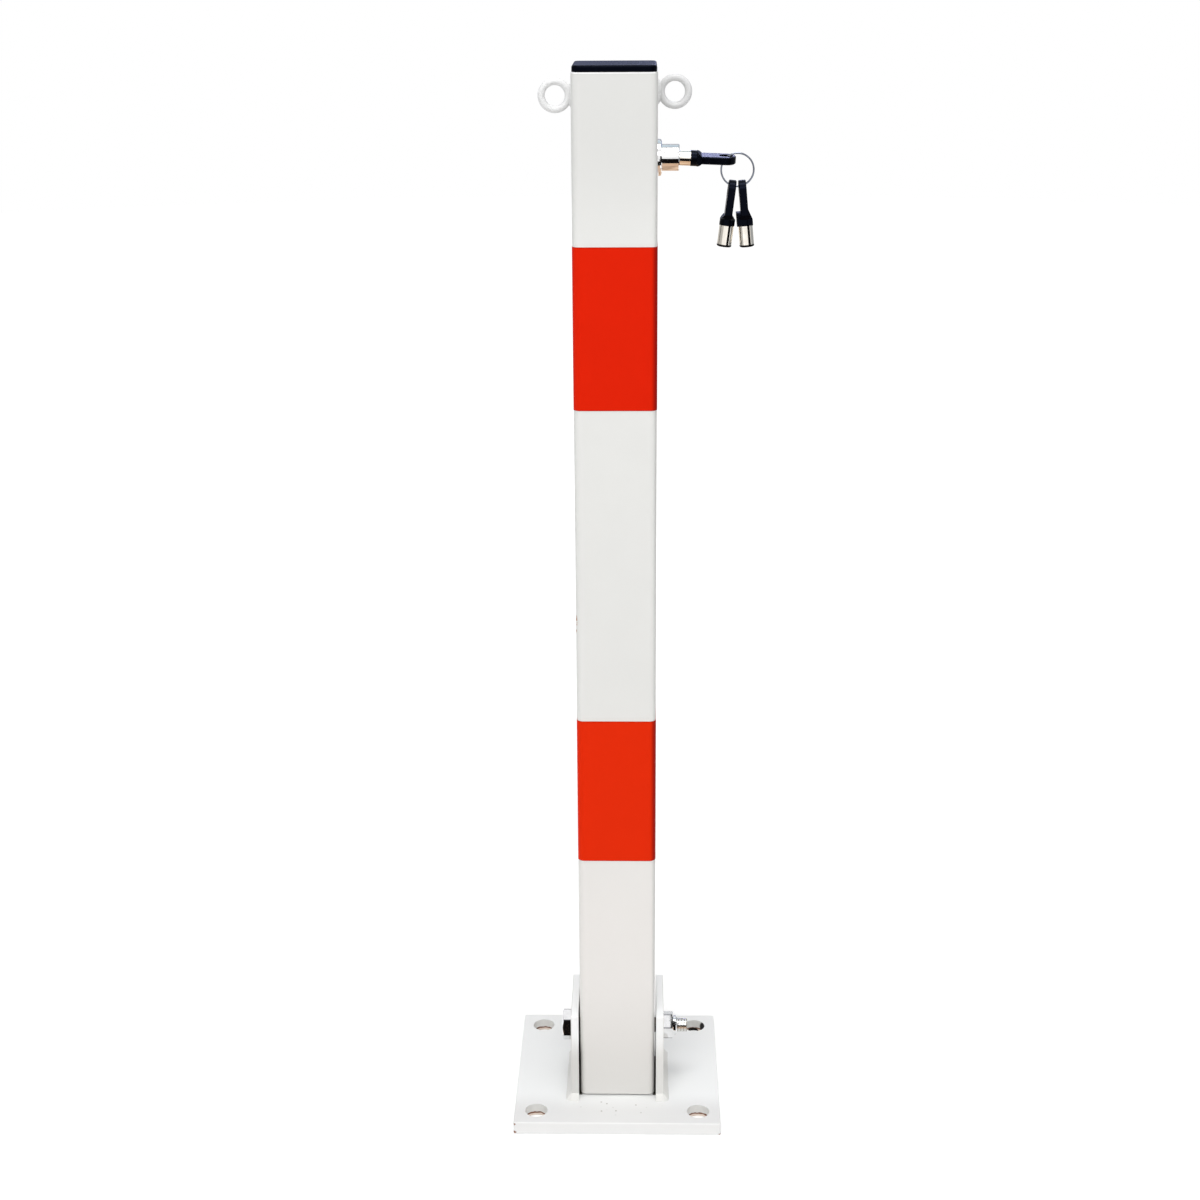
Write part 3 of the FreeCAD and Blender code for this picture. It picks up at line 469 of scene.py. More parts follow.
def hole_walls(look, colour):
    """Colours the walls of the anchor holes, and also gives back where their rusty, shadowed line lies.

    They have grey paint darkened as painted shade, a ragged rusty line low down with a painted contact shadow
    on it, and pale bare steel below it warmed by painted bounce light from the floor. The back right hole is
    dark on one side and at its foot."""
    # Painted shade in the grey of the walls, a painted contact shadow on the rusty line, painted warm bounce
    # light on the bare steel
    shaded_wall_grey, rust_and_shadow_line = (0.84, 0.845, 0.825), (0.20, 0.075, 0.035)
    steel_and_bounce, hollow = (0.90, 0.78, 0.69), (0.004, 0.003, 0.003)
    rust_top, steel_top = 0.0044, 0.0032
    across = look.math("SUBTRACT", look.size(look.x), HOLE_PLACE)
    along = look.math("SUBTRACT", look.size(look.y), HOLE_PLACE)
    reach = look.distance(across, along)
    inside = look.fade(reach, HOLE_RADIUS + 0.0004, HOLE_RADIUS + 0.0001)
    wall = look.product(inside, look.fade(look.z, PLATE_HIGH.z, PLATE_HIGH.z - 0.0004))
    colour = look.mix(wall, colour, shaded_wall_grey)
    # A rusty line with a painted contact shadow, and bare steel below it with painted bounce light
    ragged = look.math("ADD", look.z, look.product(look.noise(0.0035, 2.0), 0.0020))
    rust_and_shadow = look.product(wall, look.fade(ragged, rust_top, rust_top - 0.0005))
    colour = look.mix(rust_and_shadow, colour, rust_and_shadow_line)
    steel = look.product(wall, look.fade(ragged, steel_top, steel_top - 0.0006))
    colour = look.mix(steel, colour, steel_and_bounce)
    side = look.spot((HOLE_PLACE + 0.0085, HOLE_PLACE + 0.0030, 0.0052), (0.0052, 0.0066, 0.0060), 0.8)
    foot = look.spot((HOLE_PLACE - 0.0010, HOLE_PLACE + 0.0090, 0.0004), (0.0058, 0.0030, 0.0026), 0.8)
    dark = look.product(wall, look.math("MAXIMUM", side, foot))
    return look.mix(dark, colour, hollow), rust_and_shadow


def plate_paint(paint):
    """Paint of the plate: painted shade over its top before the tube and painted light on its front face,
    chipped corners, specks before the tube, painted shade beside the tube, and painted shade, a rusty line
    and bare steel in each hole.
    """
    look = Look("white_paint_plate")
    front_edge = PLATE_LOW.y
    # Painted shade over the plate's top before the tube, and painted light on its front face
    front_start, front_full = front_edge + 0.045, front_edge + 0.015
    front = look.fade(look.y, front_start, front_full)
    face = look.fade(look.y, front_edge + 0.0012, front_edge + 0.0004)
    colour = look.mix(front, mottled(look, paint.plate_colour), paint.front_colour)
    colour = look.mix(face, colour, scaled(paint.front_colour, 1.145))
    chips = corner_chips(look)
    bare = look.mix(look.noise(0.0011, 2.0), paint.rust_colour, scaled(paint.rust_colour, 0.5))
    colour = look.mix(chips, colour, bare)
    colour = look.mix(plate_specks(look), colour, paint.dirt_colour)
    # Painted shade on the plate in the gaps between tube and ears
    side = look.size(look.x)
    outside_tube = look.fade(side, TUBE_HIGH.x - 0.0020, TUBE_HIGH.x - 0.0005)
    inside_ear = look.fade(side, EAR_LOW.x + 0.0006, EAR_LOW.x + 0.0002)
    slot = look.product(outside_tube, beside_tube(look), inside_ear)
    colour = look.mix(slot, colour, paint.gap_shade_colour)
    colour, rust_and_shadow = hole_walls(look, colour)
    return paint_surface(look, paint, colour, look.math("MAXIMUM", chips, rust_and_shadow))


def red_film(bands, name, colour, low, high):
    """Red film, faintly uneven, with dusty lines at its two edges and painted shade on its right front
    corner.
    """
    look = Look(name)
    line = bands.edge_width
    dust_shade = 0.62
    tone = look.mix(look.noise(0.03, 2.0), scaled(colour, 0.975), scaled(colour, 1.02))
    top = look.fade(look.z, high - line, high - line * 0.3)
    bottom = look.fade(look.z, low + line, low + line * 0.3)
    tone = look.mix(look.math("MAXIMUM", top, bottom), tone, scaled(colour, dust_shade))
    red, green, blue = colour
    # Painted shade on the band's right front corner
    tone = look.mix(front_corner(look, 0.0046), tone, (red * 0.42, green * 0.2, blue * 0.2))
    normal = look.bump(look.noise(0.0022, 1.0), 0.00003)
    normal = look.bump(look.noise(0.02, 1.0, (1.0, 1.0, 2.0)), 0.00012, normal)
    return look.shade(tone, bands.roughness, normal, Specular_IOR_Level=0.04)


def moulded_plastic(name, plastic, colour, roughness, gloss):
    """Black moulded plastic: a fine grain, a few long scratches and faint dust."""
    look = Look(name)
    scratches = look.fade(look.noise(0.0007, 3.0, (12.0, 1.0, 1.0)), 0.60, 0.72)
    dust = look.fade(look.noise(0.006, 5.0), 0.55, 0.85)
    tone = look.mix(dust, colour, scaled(colour, 2.0))
    normal = look.bump(look.noise(plastic.grain, 1.0), 0.00001)
    normal = look.bump(scratches, 0.00001, normal)
    rough = look.between(dust, roughness, roughness + 0.15)
    return look.shade(tone, rough, normal, Specular_IOR_Level=gloss, Specular_Tint=plastic.sheen_colour)


def corner_lines(look, across, above, turn):
    """1 on the six corners of a hexagon round the bolt's axis, turned by an angle in degrees."""
    outer, inner = 0.070, 0.030
    angle = look.math("ARCTAN2", above, across)
    sixths = look.math("DIVIDE", look.math("SUBTRACT", angle, math.radians(turn)), math.pi / 3)
    share = look.math("FRACT", sixths)
    near = look.math("MINIMUM", share, look.math("SUBTRACT", 1.0, share))
    return look.fade(near, outer, inner)


def zinc(metal):
    """Zinc plating: clouded, with painted shade along the corners, painted shade in the thread's grooves and
    painted shade on the bolt between the ears.
    """
    look = Look("zinc_plating")
    groove_shade, corner_shade_zinc, bolt_gap_shade = (0.50, 0.46, 0.38), (0.34, 0.34, 0.36), (0.035, 0.030, 0.025)
    nut_collar = 0.0030
    corner_start, corner_full = 0.0088, 0.0094
    x = look.x
    cloud = look.fade(look.noise(0.004, 3.0), 0.35, 0.75)
    tone = look.mix(cloud, metal.zinc_colour, scaled(metal.zinc_colour, 0.92))
    tarnish = look.fade(look.noise(0.006, 2.0, offset=(3.0, 1.0, 0.0)), 0.74, 0.90)
    tone = look.mix(tarnish, tone, metal.tarnish_colour)
    across = look.math("SUBTRACT", look.y, BOLT_Y)
    above = look.math("SUBTRACT", look.z, BOLT_Z)
    reach = look.distance(across, above)
    # Painted shade in the thread's grooves
    below_crest = look.fade(reach, THREAD_CREST - 0.00013, THREAD_CREST - 0.00043)
    groove = look.product(below_crest, look.fade(x, NUT_HIGH.x, NUT_HIGH.x + 0.0005))
    tone = look.mix(groove, tone, groove_shade)
    # Painted shade along the corners of the head and the nut, standing in for dark reflections at their edges
    on_head = look.product(
        corner_lines(look, across, above, HEAD_TURN),
        look.fade(x, BOLT_LOW.x + 0.0006, BOLT_LOW.x + 0.0012),
        look.fade(x, 0.0, -0.001))
    on_nut = look.product(
        corner_lines(look, across, above, NUT_TURN),
        look.fade(x, 0.0, 0.001),
        look.fade(x, NUT_HIGH.x - nut_collar, NUT_HIGH.x - nut_collar - 0.0004))
    corner_shade = look.product(look.math("MAXIMUM", on_head, on_nut), look.fade(reach, corner_start, corner_full))
    tone = look.mix(corner_shade, tone, corner_shade_zinc)
    # Painted shade on the bolt in the gaps between the ears
    in_bolt_gap = look.fade(look.size(x), EAR_LOW.x + 0.0006, EAR_LOW.x + 0.0002)
    tone = look.mix(in_bolt_gap, tone, bolt_gap_shade)
    normal = look.bump(look.noise(0.004, 1.0), 0.000002)
    rough = look.between(cloud, 0.05, 0.09)
    return look.shade(tone, rough, normal, Metallic=1.0)


def turned_metal(name, colour, shade, roughness, stretch, rim=None):
    """Plated metal with tool lines: noise drawn out along stretch, with smudges darker by shade.

    A rim, given as an axis and how far out along it the tip lies, gets a painted dark reflection there."""
    look = Look(name)
    smudge = look.fade(look.noise(0.004, 3.0), 0.35, 0.75)
    tone = look.mix(smudge, colour, scaled(colour, shade))
    if rim is not None:
        axis, tip = rim
        along = look.add("ShaderNodeVectorMath", {0: look.position, 1: axis}, operation="DOT_PRODUCT")
        # Painted reflection: a dark edge at the barrel's tip
        black = look.fade(along.outputs["Value"], tip - RIM_WIDTH, tip - RIM_WIDTH * 0.8)
        tone = look.mix(black, tone, (0.012, 0.010, 0.010))
    normal = look.bump(look.noise(0.0003, 2.0, stretch), 0.0000003)
    rough = look.between(smudge, roughness, roughness + 0.05)
    return look.shade(tone, rough, normal, Metallic=1.0)


def bare_steel(metal, name="bare_steel"):
    """Bare steel: rolled lines along the post, with darker oily patches."""
    look = Look(name)
    patches = look.fade(look.noise(0.02, 4.0), 0.35, 0.70)
    tone = look.mix(patches, metal.steel_colour, scaled(metal.steel_colour, 0.55))
    normal = look.bump(look.noise(0.0006, 2.0, (1.0, 1.0, 20.0)), 0.00002)
    rough = look.between(patches, 0.32, 0.55)
    return look.shade(tone, rough, normal, Metallic=1.0)


def nylon():
    """Milky plastic of the lock nut's insert."""
    look = Look("nylon")
    tone = look.mix(look.noise(0.002, 2.0), (0.74, 0.77, 0.80), (0.82, 0.84, 0.86))
    normal = look.bump(look.noise(0.0004, 1.0), 0.00001)
    return look.shade(tone, 0.4, normal)


def dress(names, material):
    """Gives CAD nodes a material, on all their slots."""
    for name in names:
        materials = NODES[name].data.materials
        materials.clear()
        materials.append(material)


# Shapes

def placed(name, data):
    """A new object in the scene for its data."""
    thing = bpy.data.objects.new(name, data)
    bpy.context.scene.collection.objects.link(thing)
    return thing


def points_at(x, y, z):
    """Points from their coordinates, where one that is the same for all is given once."""
    return np.stack(np.broadcast_arrays(x, y, z), axis=-1)


def grid_quads(rows, columns):
    """Faces of a grid that is joined round its columns.

    Corner (i, j) is joined to (i, j+1), (i+1, j+1) and (i+1, j), where corner (i, j) has the number
    i times columns plus j."""
    i = np.arange(rows - 1)[:, None] * columns
    j = np.arange(columns)[None, :]
    k = (j + 1) % columns
    return np.stack([i + j, i + k, i + columns + k, i + columns + j], axis=-1).reshape(-1, 4)


def grid_piece(name, points, material, body, replaced=()):
    """A closed surface from a grid of points (rows, columns, 3), joined round its columns.

    Each end row is closed by a fan of triangles round its middle. The faces are turned round if the volume
    that they enclose is negative, so they point outwards."""
    rows, columns = points.shape[:2]
    quads = grid_quads(rows, columns)
    j = np.arange(columns)
    k = (j + 1) % columns
    last = (rows - 1) * columns
    first_centre = rows * columns
    first_fan = np.stack([np.full(columns, first_centre), k, j], axis=-1)
    last_fan = np.stack([np.full(columns, first_centre + 1), last + j, last + k], axis=-1)
    vertices = np.concatenate([points.reshape(-1, 3), [points[0].mean(axis=0)], [points[-1].mean(axis=0)]])
    triangles = np.concatenate([quads[:, [0, 1, 2]], quads[:, [0, 2, 3]], first_fan, last_fan])
    a, b, c = (vertices[triangles[:, n]] for n in range(3))
    volume = np.einsum("ij,ij->i", a, np.cross(b, c)).sum()
    faces = quads.tolist() + first_fan.tolist() + last_fan.tolist()
    if volume < 0:
        faces = [face[::-1] for face in faces]
    mesh = bpy.data.meshes.new(name)
    mesh.from_pydata(vertices.tolist(), [], faces)
    mesh.polygons.foreach_set("use_smooth", np.ones(len(faces), bool))
    mesh.set_sharp_from_angle(angle=SHARP_ANGLE)
    mesh.materials.append(material)
    piece = placed(name, mesh)
    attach(piece, body)
    if replaced:
        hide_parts(*replaced)
    return piece


def ripple(distance, welds):
    """The run of a weld: a cosine of the distance along it, with a slow wander of two long sines."""
    short, long = 0.0061, 0.0143
    wander = 0.6 * np.sin(distance / short) + 0.4 * np.sin(distance / long + 1.3)
    wave = np.cos(2 * math.pi * distance / welds.ripple_pitch + wander)
    return welds.ripple_height * (wave + 1.5 * wander)


def foot_bead(side_name, welds):
    """Points of the bead round the foot of the ear on that side.

    A section is carried round the foot: along the front edge, round the corner, along the outer side, round
    the corner and along the back edge. At each place the section runs from the ear's wall to the plate on a
    rippled line, d = leg t and z = leg (1 - t), both plus a bulge of sin(pi t), and closes inside the
    steel."""
    low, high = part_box(side_name + "_ear")
    side = SIDES[side_name]
    inner, outer = (low.x, high.x) if side > 0 else (high.x, low.x)
    quarter = math.pi / 2
    edge = np.linspace(inner, outer, 7)
    corner = np.linspace(0, quarter, 13)
    stretches = (
        (edge, low.y, 0.0),
        (outer, low.y, corner),
        (outer, np.linspace(low.y, high.y, 150), quarter),
        (outer, high.y, quarter + corner),
        (edge[::-1], high.y, math.pi),
    )
    x, y, turn = np.concatenate([points_at(*stretch) for stretch in stretches]).T
    steps = np.hypot(np.diff(x), np.diff(y)) + welds.foot_leg / 2 * np.diff(turn)
    distance = np.concatenate([[0], np.cumsum(steps)])
    wave = ripple(distance, welds)
    leg = welds.foot_leg + 2.0 * wave
    t = np.linspace(0, 1, 11)
    fullness, tuck = 0.0002, 0.0004
    bulge = fullness * np.sin(math.pi * t)
    reach = np.outer(leg, t) + bulge
    height = np.outer(leg, 1 - t) + bulge + np.outer(wave, np.sin(math.pi * t))
    buried = np.full((len(leg), 1), -tuck)
    reach = np.concatenate([buried, reach, reach[:, -1:], buried], axis=1)
    height = np.concatenate([height[:, :1], height, buried, buried], axis=1)
    x, y, turn = (values[:, None] for values in (x, y, turn))
    return points_at(x + side * np.sin(turn) * reach, y - np.cos(turn) * reach, low.z + height)


def eyelet_bead(side_name, welds):
    """Points of the bead between that side's eyelet and the wall: a lens along the wall.

    At u from -1 to 1 along an upright line, the half-width is radius (1 - u^2)^0.6 with ripples, swept by an
    angle round that line and flattened just inside the wall."""
    low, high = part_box(side_name + "_eyelet")
    sunk = 0.0005
    u = np.sin(np.linspace(-math.pi / 2, math.pi / 2, 60))[1:-1]
    angle = np.linspace(0, 2 * math.pi, 40, endpoint=False)
    along = u * welds.eyelet_length / 2
    radius = welds.eyelet_radius * (1 - u ** 2) ** 0.6 + 1.2 * ripple(along, welds) * (1 - u ** 2)
    out = np.maximum(np.outer(radius, np.cos(angle)), -sunk)
    y = (low.y + high.y) / 2 + np.outer(radius, np.sin(angle))
    z = (low.z + high.z) / 2 + along[:, None]
    return points_at(SIDES[side_name] * (TUBE_HIGH.x + out), y, z)


def threaded_bolt(thread):
    """Points of the pivot bolt: rings along X, each with a radius that depends on its place and angle.

    The head is the smaller of a hexagon's radius, flats / 2 over the cosine of the angle from the nearest
    flat, and a cone that takes the corners off its face. A round washer face follows it, and then the round
    shank. The thread is its crest less its depth times a trapezoid wave of place over pitch less angle over a
    whole turn, and its last turn runs down a chamfer."""
    head_turn = math.radians(HEAD_TURN)
    flats = (BOLT_HIGH.y - BOLT_LOW.y) / 2 / math.cos(head_turn) * math.sqrt(3)
    shank_radius = 0.006
    bevel, washer = 0.0013, 0.0009
    wave_slope, wave_shift = 4.0, 0.9
    face = BOLT_LOW.x
    seat = -EAR_HIGH.x
    thread_start = NUT_LOW.x + 0.002
    end = BOLT_HIGH.x
    angle = np.linspace(0, 2 * math.pi, 96, endpoint=False) + head_turn
    sixth = math.pi / 3
    hexagon = flats / 2 / np.cos((angle - head_turn) % sixth - sixth / 2)
    depth_in = np.concatenate([bevel * np.linspace(0, 1, 9) ** 1.3, [seat - face - washer]])
    inner = (flats - bevel) / 2
    cone = inner + (flats / math.sqrt(3) - inner) * depth_in / bevel
    head = np.minimum(hexagon[None, :], cone[:, None])
    washer_face = np.full((2, len(angle)), flats / 2 * 0.95)
    shank = np.full((2, len(angle)), shank_radius)
    thread_x = np.append(np.arange(thread_start + thread.pitch / 20, end, thread.pitch / 18), end)
    phase = (thread_x[:, None] / thread.pitch - angle[None, :] / (2 * math.pi)) % 1.0
    groove = np.clip(wave_slope * np.minimum(phase, 1 - phase) - wave_shift, 0, 1)
    chamfer = THREAD_CREST + 0.9 * ((end - thread_x)[:, None] - thread.depth)
    ridge = np.minimum(THREAD_CREST - thread.depth * groove, chamfer)
    radius = np.concatenate([head, washer_face, shank, ridge])
    x = np.concatenate([face + depth_in, [seat - washer, seat], [seat, thread_start], thread_x])
    return points_at(x[:, None], BOLT_Y + radius * np.cos(angle), BOLT_Z + radius * np.sin(angle))


def spring_coil():
    """Points of the lock's spring: a round wire carried along a helix round X.

    The wire's middle goes round at the mean radius while x grows evenly with the angle. Each section is a
    circle in the plane of the outward direction and of the one square to it and to the wire's run."""
    low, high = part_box("lock_spring")
    centre = (low + high) / 2
    wire_radius = SPRING_WIRE / 2
    mean = (high.z - low.z) / 2 - wire_radius
    angle = np.linspace(0, 2 * math.pi * SPRING_TURNS, 40 * SPRING_TURNS + 1)
    x = np.linspace(low.x + wire_radius, high.x - wire_radius, len(angle))
    outward = points_at(0.0, np.cos(angle), np.sin(angle))
    rise = (x[1] - x[0]) / (angle[1] - angle[0])
    run = points_at(rise, -mean * np.sin(angle), mean * np.cos(angle))
    run /= np.linalg.norm(run, axis=1, keepdims=True)
    across = np.cross(run, outward)
    middle = points_at(x, centre.y, centre.z) + mean * outward
    section = np.linspace(0, 2 * math.pi, 12, endpoint=False)[None, :, None]
    spread = np.cos(section) * outward[:, None, :] + np.sin(section) * across[:, None, :]
    return middle[:, None, :] + wire_radius * spread


def barrel_tip(barrel):
    """The direction in which a hanging barrel's vertices spread most, and how far along it the tip is."""
    vertices = np.array([vertex.co for vertex in NODES[barrel].data.vertices])
    spread = np.cov((vertices - vertices.mean(axis=0)).T)
    axis = np.linalg.eigh(spread)[1][:, -1]
    axis = -axis if axis[2] > 0 else axis
    return tuple(float(n) for n in axis), float((vertices @ axis).max())


def disc_points(radius, height):
    """Points of a level disc: rings whose radius grows with the square of their number."""
    ring = radius * np.linspace(0.02, 1, 12) ** 2
    angle = np.linspace(0, 2 * math.pi, 64, endpoint=False)
    return points_at(np.outer(ring, np.cos(angle)), np.outer(ring, np.sin(angle)), height)


# Operators

class BOLLARD_OT_paint(bpy.types.Operator):
    """Paint the plate, ears, tube and eyelets white"""
    bl_idname = "bollard.paint"
    bl_label = "White paint"

    def execute(self, context):
        paint = context.scene.bollard_paint
        dress(["base_plate"], plate_paint(paint))
        dress(["post_tube"], tube_paint(paint))
        dress(["left_ear", "right_ear"], ear_paint(paint))
        # Painted light and shade: a lighter copy of the eyelet paint on the left eyelet, a darker one on the
        # right
        for side, shade in EYELET_SHADES.items():
            eyelet = side + "_eyelet"
            dress([eyelet], plain_paint("white_paint_" + eyelet, paint, scaled(paint.eyelet_colour, shade)))
        return {"FINISHED"}


class BOLLARD_OT_bands(bpy.types.Operator):
    """Give both bands their red film"""
    bl_idname = "bollard.bands"
    bl_label = "Red bands"

    def execute(self, context):
        bands = context.scene.bollard_bands
        for name, colour in (("upper_red_band", bands.upper_colour), ("lower_red_band", bands.lower_colour)):
            low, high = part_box(name)
            dress([name], red_film(bands, name.replace("band", "film"), colour, low.z, high.z))
        return {"FINISHED"}


class BOLLARD_OT_cap(bpy.types.Operator):
    """Give the cap its black plastic"""
    bl_idname = "bollard.cap"
    bl_label = "Top cap"

    def execute(self, context):
        plastic = context.scene.bollard_plastic
        material = moulded_plastic(
            "cap_plastic", plastic, plastic.cap_colour, plastic.cap_roughness, plastic.cap_gloss)
        dress(["top_cap"], material)
        return {"FINISHED"}


class BOLLARD_OT_foot_welds(bpy.types.Operator):
    """Run the painted weld beads round the ears' feet"""
    bl_idname = "bollard.foot_welds"
    bl_label = "Foot welds"

    def execute(self, context):
        paint = context.scene.bollard_paint
        material = plain_paint("white_paint_foot_bead", paint, paint.ear_colour)
        for side in SIDES:
            points = foot_bead(side, context.scene.bollard_welds)
            grid_piece(side + "_foot_bead", points, material, "base", (side + "_ear_weld",))
        return {"FINISHED"}


class BOLLARD_OT_eyelet_welds(bpy.types.Operator):
    """Run the painted weld beads between the eyelets and the tube"""
    bl_idname = "bollard.eyelet_welds"
    bl_label = "Eyelet welds"

    def execute(self, context):
        paint = context.scene.bollard_paint
        material = plain_paint("white_paint_eyelet_bead", paint, paint.eyelet_colour)
        for side in SIDES:
            points = eyelet_bead(side, context.scene.bollard_welds)
            weld = side + "_eyelet_weld"
            grid_piece(side + "_eyelet_bead", points, material, "post", (weld,))
        return {"FINISHED"}


class BOLLARD_OT_pivot(bpy.types.Operator):
    """Make the threaded pivot bolt and finish its nut"""
    bl_idname = "bollard.pivot"
    bl_label = "Pivot bolt and nut"

    def execute(self, context):
        plating = zinc(context.scene.bollard_metal)
        points = threaded_bolt(context.scene.bollard_thread)
        grid_piece("threaded_bolt", points, plating, "base", ("pivot_bolt",))
        dress(["pivot_nut", "lock_ring_nut"], plating)
        dress(["nut_insert"], nylon())
        return {"FINISHED"}


class BOLLARD_OT_lock(bpy.types.Operator):
    """Finish the lock's housing, plunger, core and pin, and wind its spring"""
    bl_idname = "bollard.lock"
    bl_label = "Push lock"

    def execute(self, context):
        metal = context.scene.bollard_metal
        around = (1.0, 8.0, 8.0)
        chrome = turned_metal("chrome_plating", metal.chrome_colour, 0.93, roughness=0.07, stretch=around)
        dress(["lock_housing", "lock_plunger"], chrome)
        nickel = turned_metal("nickel_core", metal.nickel_colour, 0.8, roughness=0.16, stretch=around)
        dress(["lock_core"], nickel)
        steel = bare_steel(metal, "lock_steel")
        dress(["lock_pin"], steel)
        coil = grid_piece("coiled_spring", spring_coil(), steel, "post", ("lock_spring",))
        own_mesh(coil)
        return {"FINISHED"}


class BOLLARD_OT_inner_steel(bpy.types.Operator):
    """Finish the bare steel inside the tube"""
    bl_idname = "bollard.inner_steel"
    bl_label = "Inner steel"

    def execute(self, context):
        dress(["lock_bar", "bar_eye", "bar_guide", "pivot_sleeve"], bare_steel(context.scene.bollard_metal))
        return {"FINISHED"}


class BOLLARD_OT_keys(bpy.types.Operator):
    """Finish the key in the lock and both spare keys"""
    bl_idname = "bollard.keys"
    bl_label = "Keys"

    def execute(self, context):
        metal = context.scene.bollard_metal
        plastic = context.scene.bollard_plastic
        colour = metal.nickel_colour
        lying = turned_metal("nickel_level", colour, 0.90, roughness=0.08, stretch=(1.0, 10.0, 10.0))
        dress(["key_barrel"], lying)
        for side in SIDES:
            barrel = side + "_spare_barrel"
            rim = barrel_tip(barrel)
            hanging = turned_metal(
                side + "_spare_nickel", colour, 0.90, roughness=0.08, stretch=(10.0, 10.0, 1.0), rim=rim)
            dress([barrel], hanging)
        heads = moulded_plastic(
            "key_plastic", plastic, plastic.key_colour, plastic.key_roughness, plastic.key_gloss)
        dress(["key_head", "left_spare_head", "right_spare_head"], heads)
        return {"FINISHED"}


class BOLLARD_OT_key_ring(bpy.types.Operator):
    """Finish the split ring"""
    bl_idname = "bollard.key_ring"
    bl_label = "Key ring"

    def execute(self, context):
        # The ring's dark blue-grey colour is a painted reflection
        colour = context.scene.bollard_metal.ring_colour
        plating = turned_metal("ring_plating", colour, 0.45, roughness=0.12, stretch=(4.0, 1.0, 4.0))
        dress(["key_ring"], plating)
        return {"FINISHED"}


def floor_material(lift_near, lift_far):
    """Pale matt floor, lifted to white for the camera and bright metal, so only its shadow shows."""
    look = Look("floor_matt")
    near, far = 0.35, 1.6
    tone = look.mix(look.noise(0.4, 3.0), scaled(WHITE, 0.79), scaled(WHITE, 0.81))
    matt = look.add("ShaderNodeBsdfDiffuse", {"Color": tone})
    reach = look.length(look.position)
    lift = look.between(look.fade(reach, near, far), lift_near, lift_far)
    strength = look.product(look.seen(), lift)
    glow = look.add("ShaderNodeEmission", {"Color": WHITE, "Strength": strength})
    return look.end(look.add("ShaderNodeAddShader", {0: matt.outputs[0], 1: glow.outputs[0]}))


def card_material(name, low, high, width):
    """A card that only reflections see: a glow that wanders between two colours."""
    look = Look(name)
    tone = look.mix(look.fade(look.noise(width, 2.0), 0.35, 0.65), low, high)
    return look.end(look.add("ShaderNodeEmission", {"Color": tone, "Strength": 1.0}))


def sky(scene, strength):
    """Even light of the given strength, seen as white by the camera and by bright metal."""
    scene.world = bpy.data.worlds.new("studio")
    scene.world.use_nodes = True
    graph = Graph(scene.world.node_tree)
    light = graph.add("ShaderNodeBackground", {"Color": WHITE, "Strength": strength})
    white = graph.add("ShaderNodeBackground", {"Color": WHITE, "Strength": 1.0})
    choice = graph.add("ShaderNodeMixShader", {0: graph.seen(), 1: light.outputs[0], 2: white.outputs[0]})
    graph.add("ShaderNodeOutputWorld", {"Surface": choice.outputs[0]})


def facing(place, target, roll=0.0):
    """The matrix of a lamp or a camera at place that faces target, rolled by an angle in degrees.

    Z runs from target to place, X is level and square to it, and Y is square to both."""
    z = np.array(place) - np.array(target)
    z = z / np.linalg.norm(z)
    x = np.cross((0.0, 0.0, 1.0), z)
    x = x / np.linalg.norm(x)
    y = np.cross(z, x)
    roll = math.radians(roll)
    cosine, sine = math.cos(roll), math.sin(roll)
    matrix = np.identity(4)
    matrix[:3] = np.stack([cosine * x + sine * y, cosine * y - sine * x, z, place], axis=1)
    return Matrix(matrix.tolist())


def lamp(name, place, target, size, power):
    """A square soft lamp at place that faces target."""
    data = bpy.data.lights.new(name, "AREA")
    data.shape = "SQUARE"
    data.size = size
    data.energy = power
    placed(name, data).matrix_world = facing(place, target)


def upright(x_range, y, z_range):
    """Corners of an upright rectangle that faces along Y."""
    (a, b), (low, high) = x_range, z_range
    return [(a, y, low), (b, y, low), (b, y, high), (a, y, high)]


def turned(start, end, z_range):
    """Corners of an upright rectangle over a line on the ground, from start to end."""
    low, high = z_range
    return [(*start, low), (*end, low), (*end, high), (*start, high)]


def level(x_range, y_range, z):
    """Corners of a level rectangle."""
    (a, b), (front, back) = x_range, y_range
    return [(a, front, z), (b, front, z), (b, back, z), (a, back, z)]


def card(name, corners, material):
    """A flat card with four corners, seen only by reflections."""
    mesh = bpy.data.meshes.new(name)
    mesh.from_pydata(corners, [], [(0, 1, 2, 3)])
    mesh.materials.append(material)
    piece = placed(name, mesh)
    for ray in ("camera", "diffuse", "shadow", "transmission"):
        setattr(piece, "visible_" + ray, False)


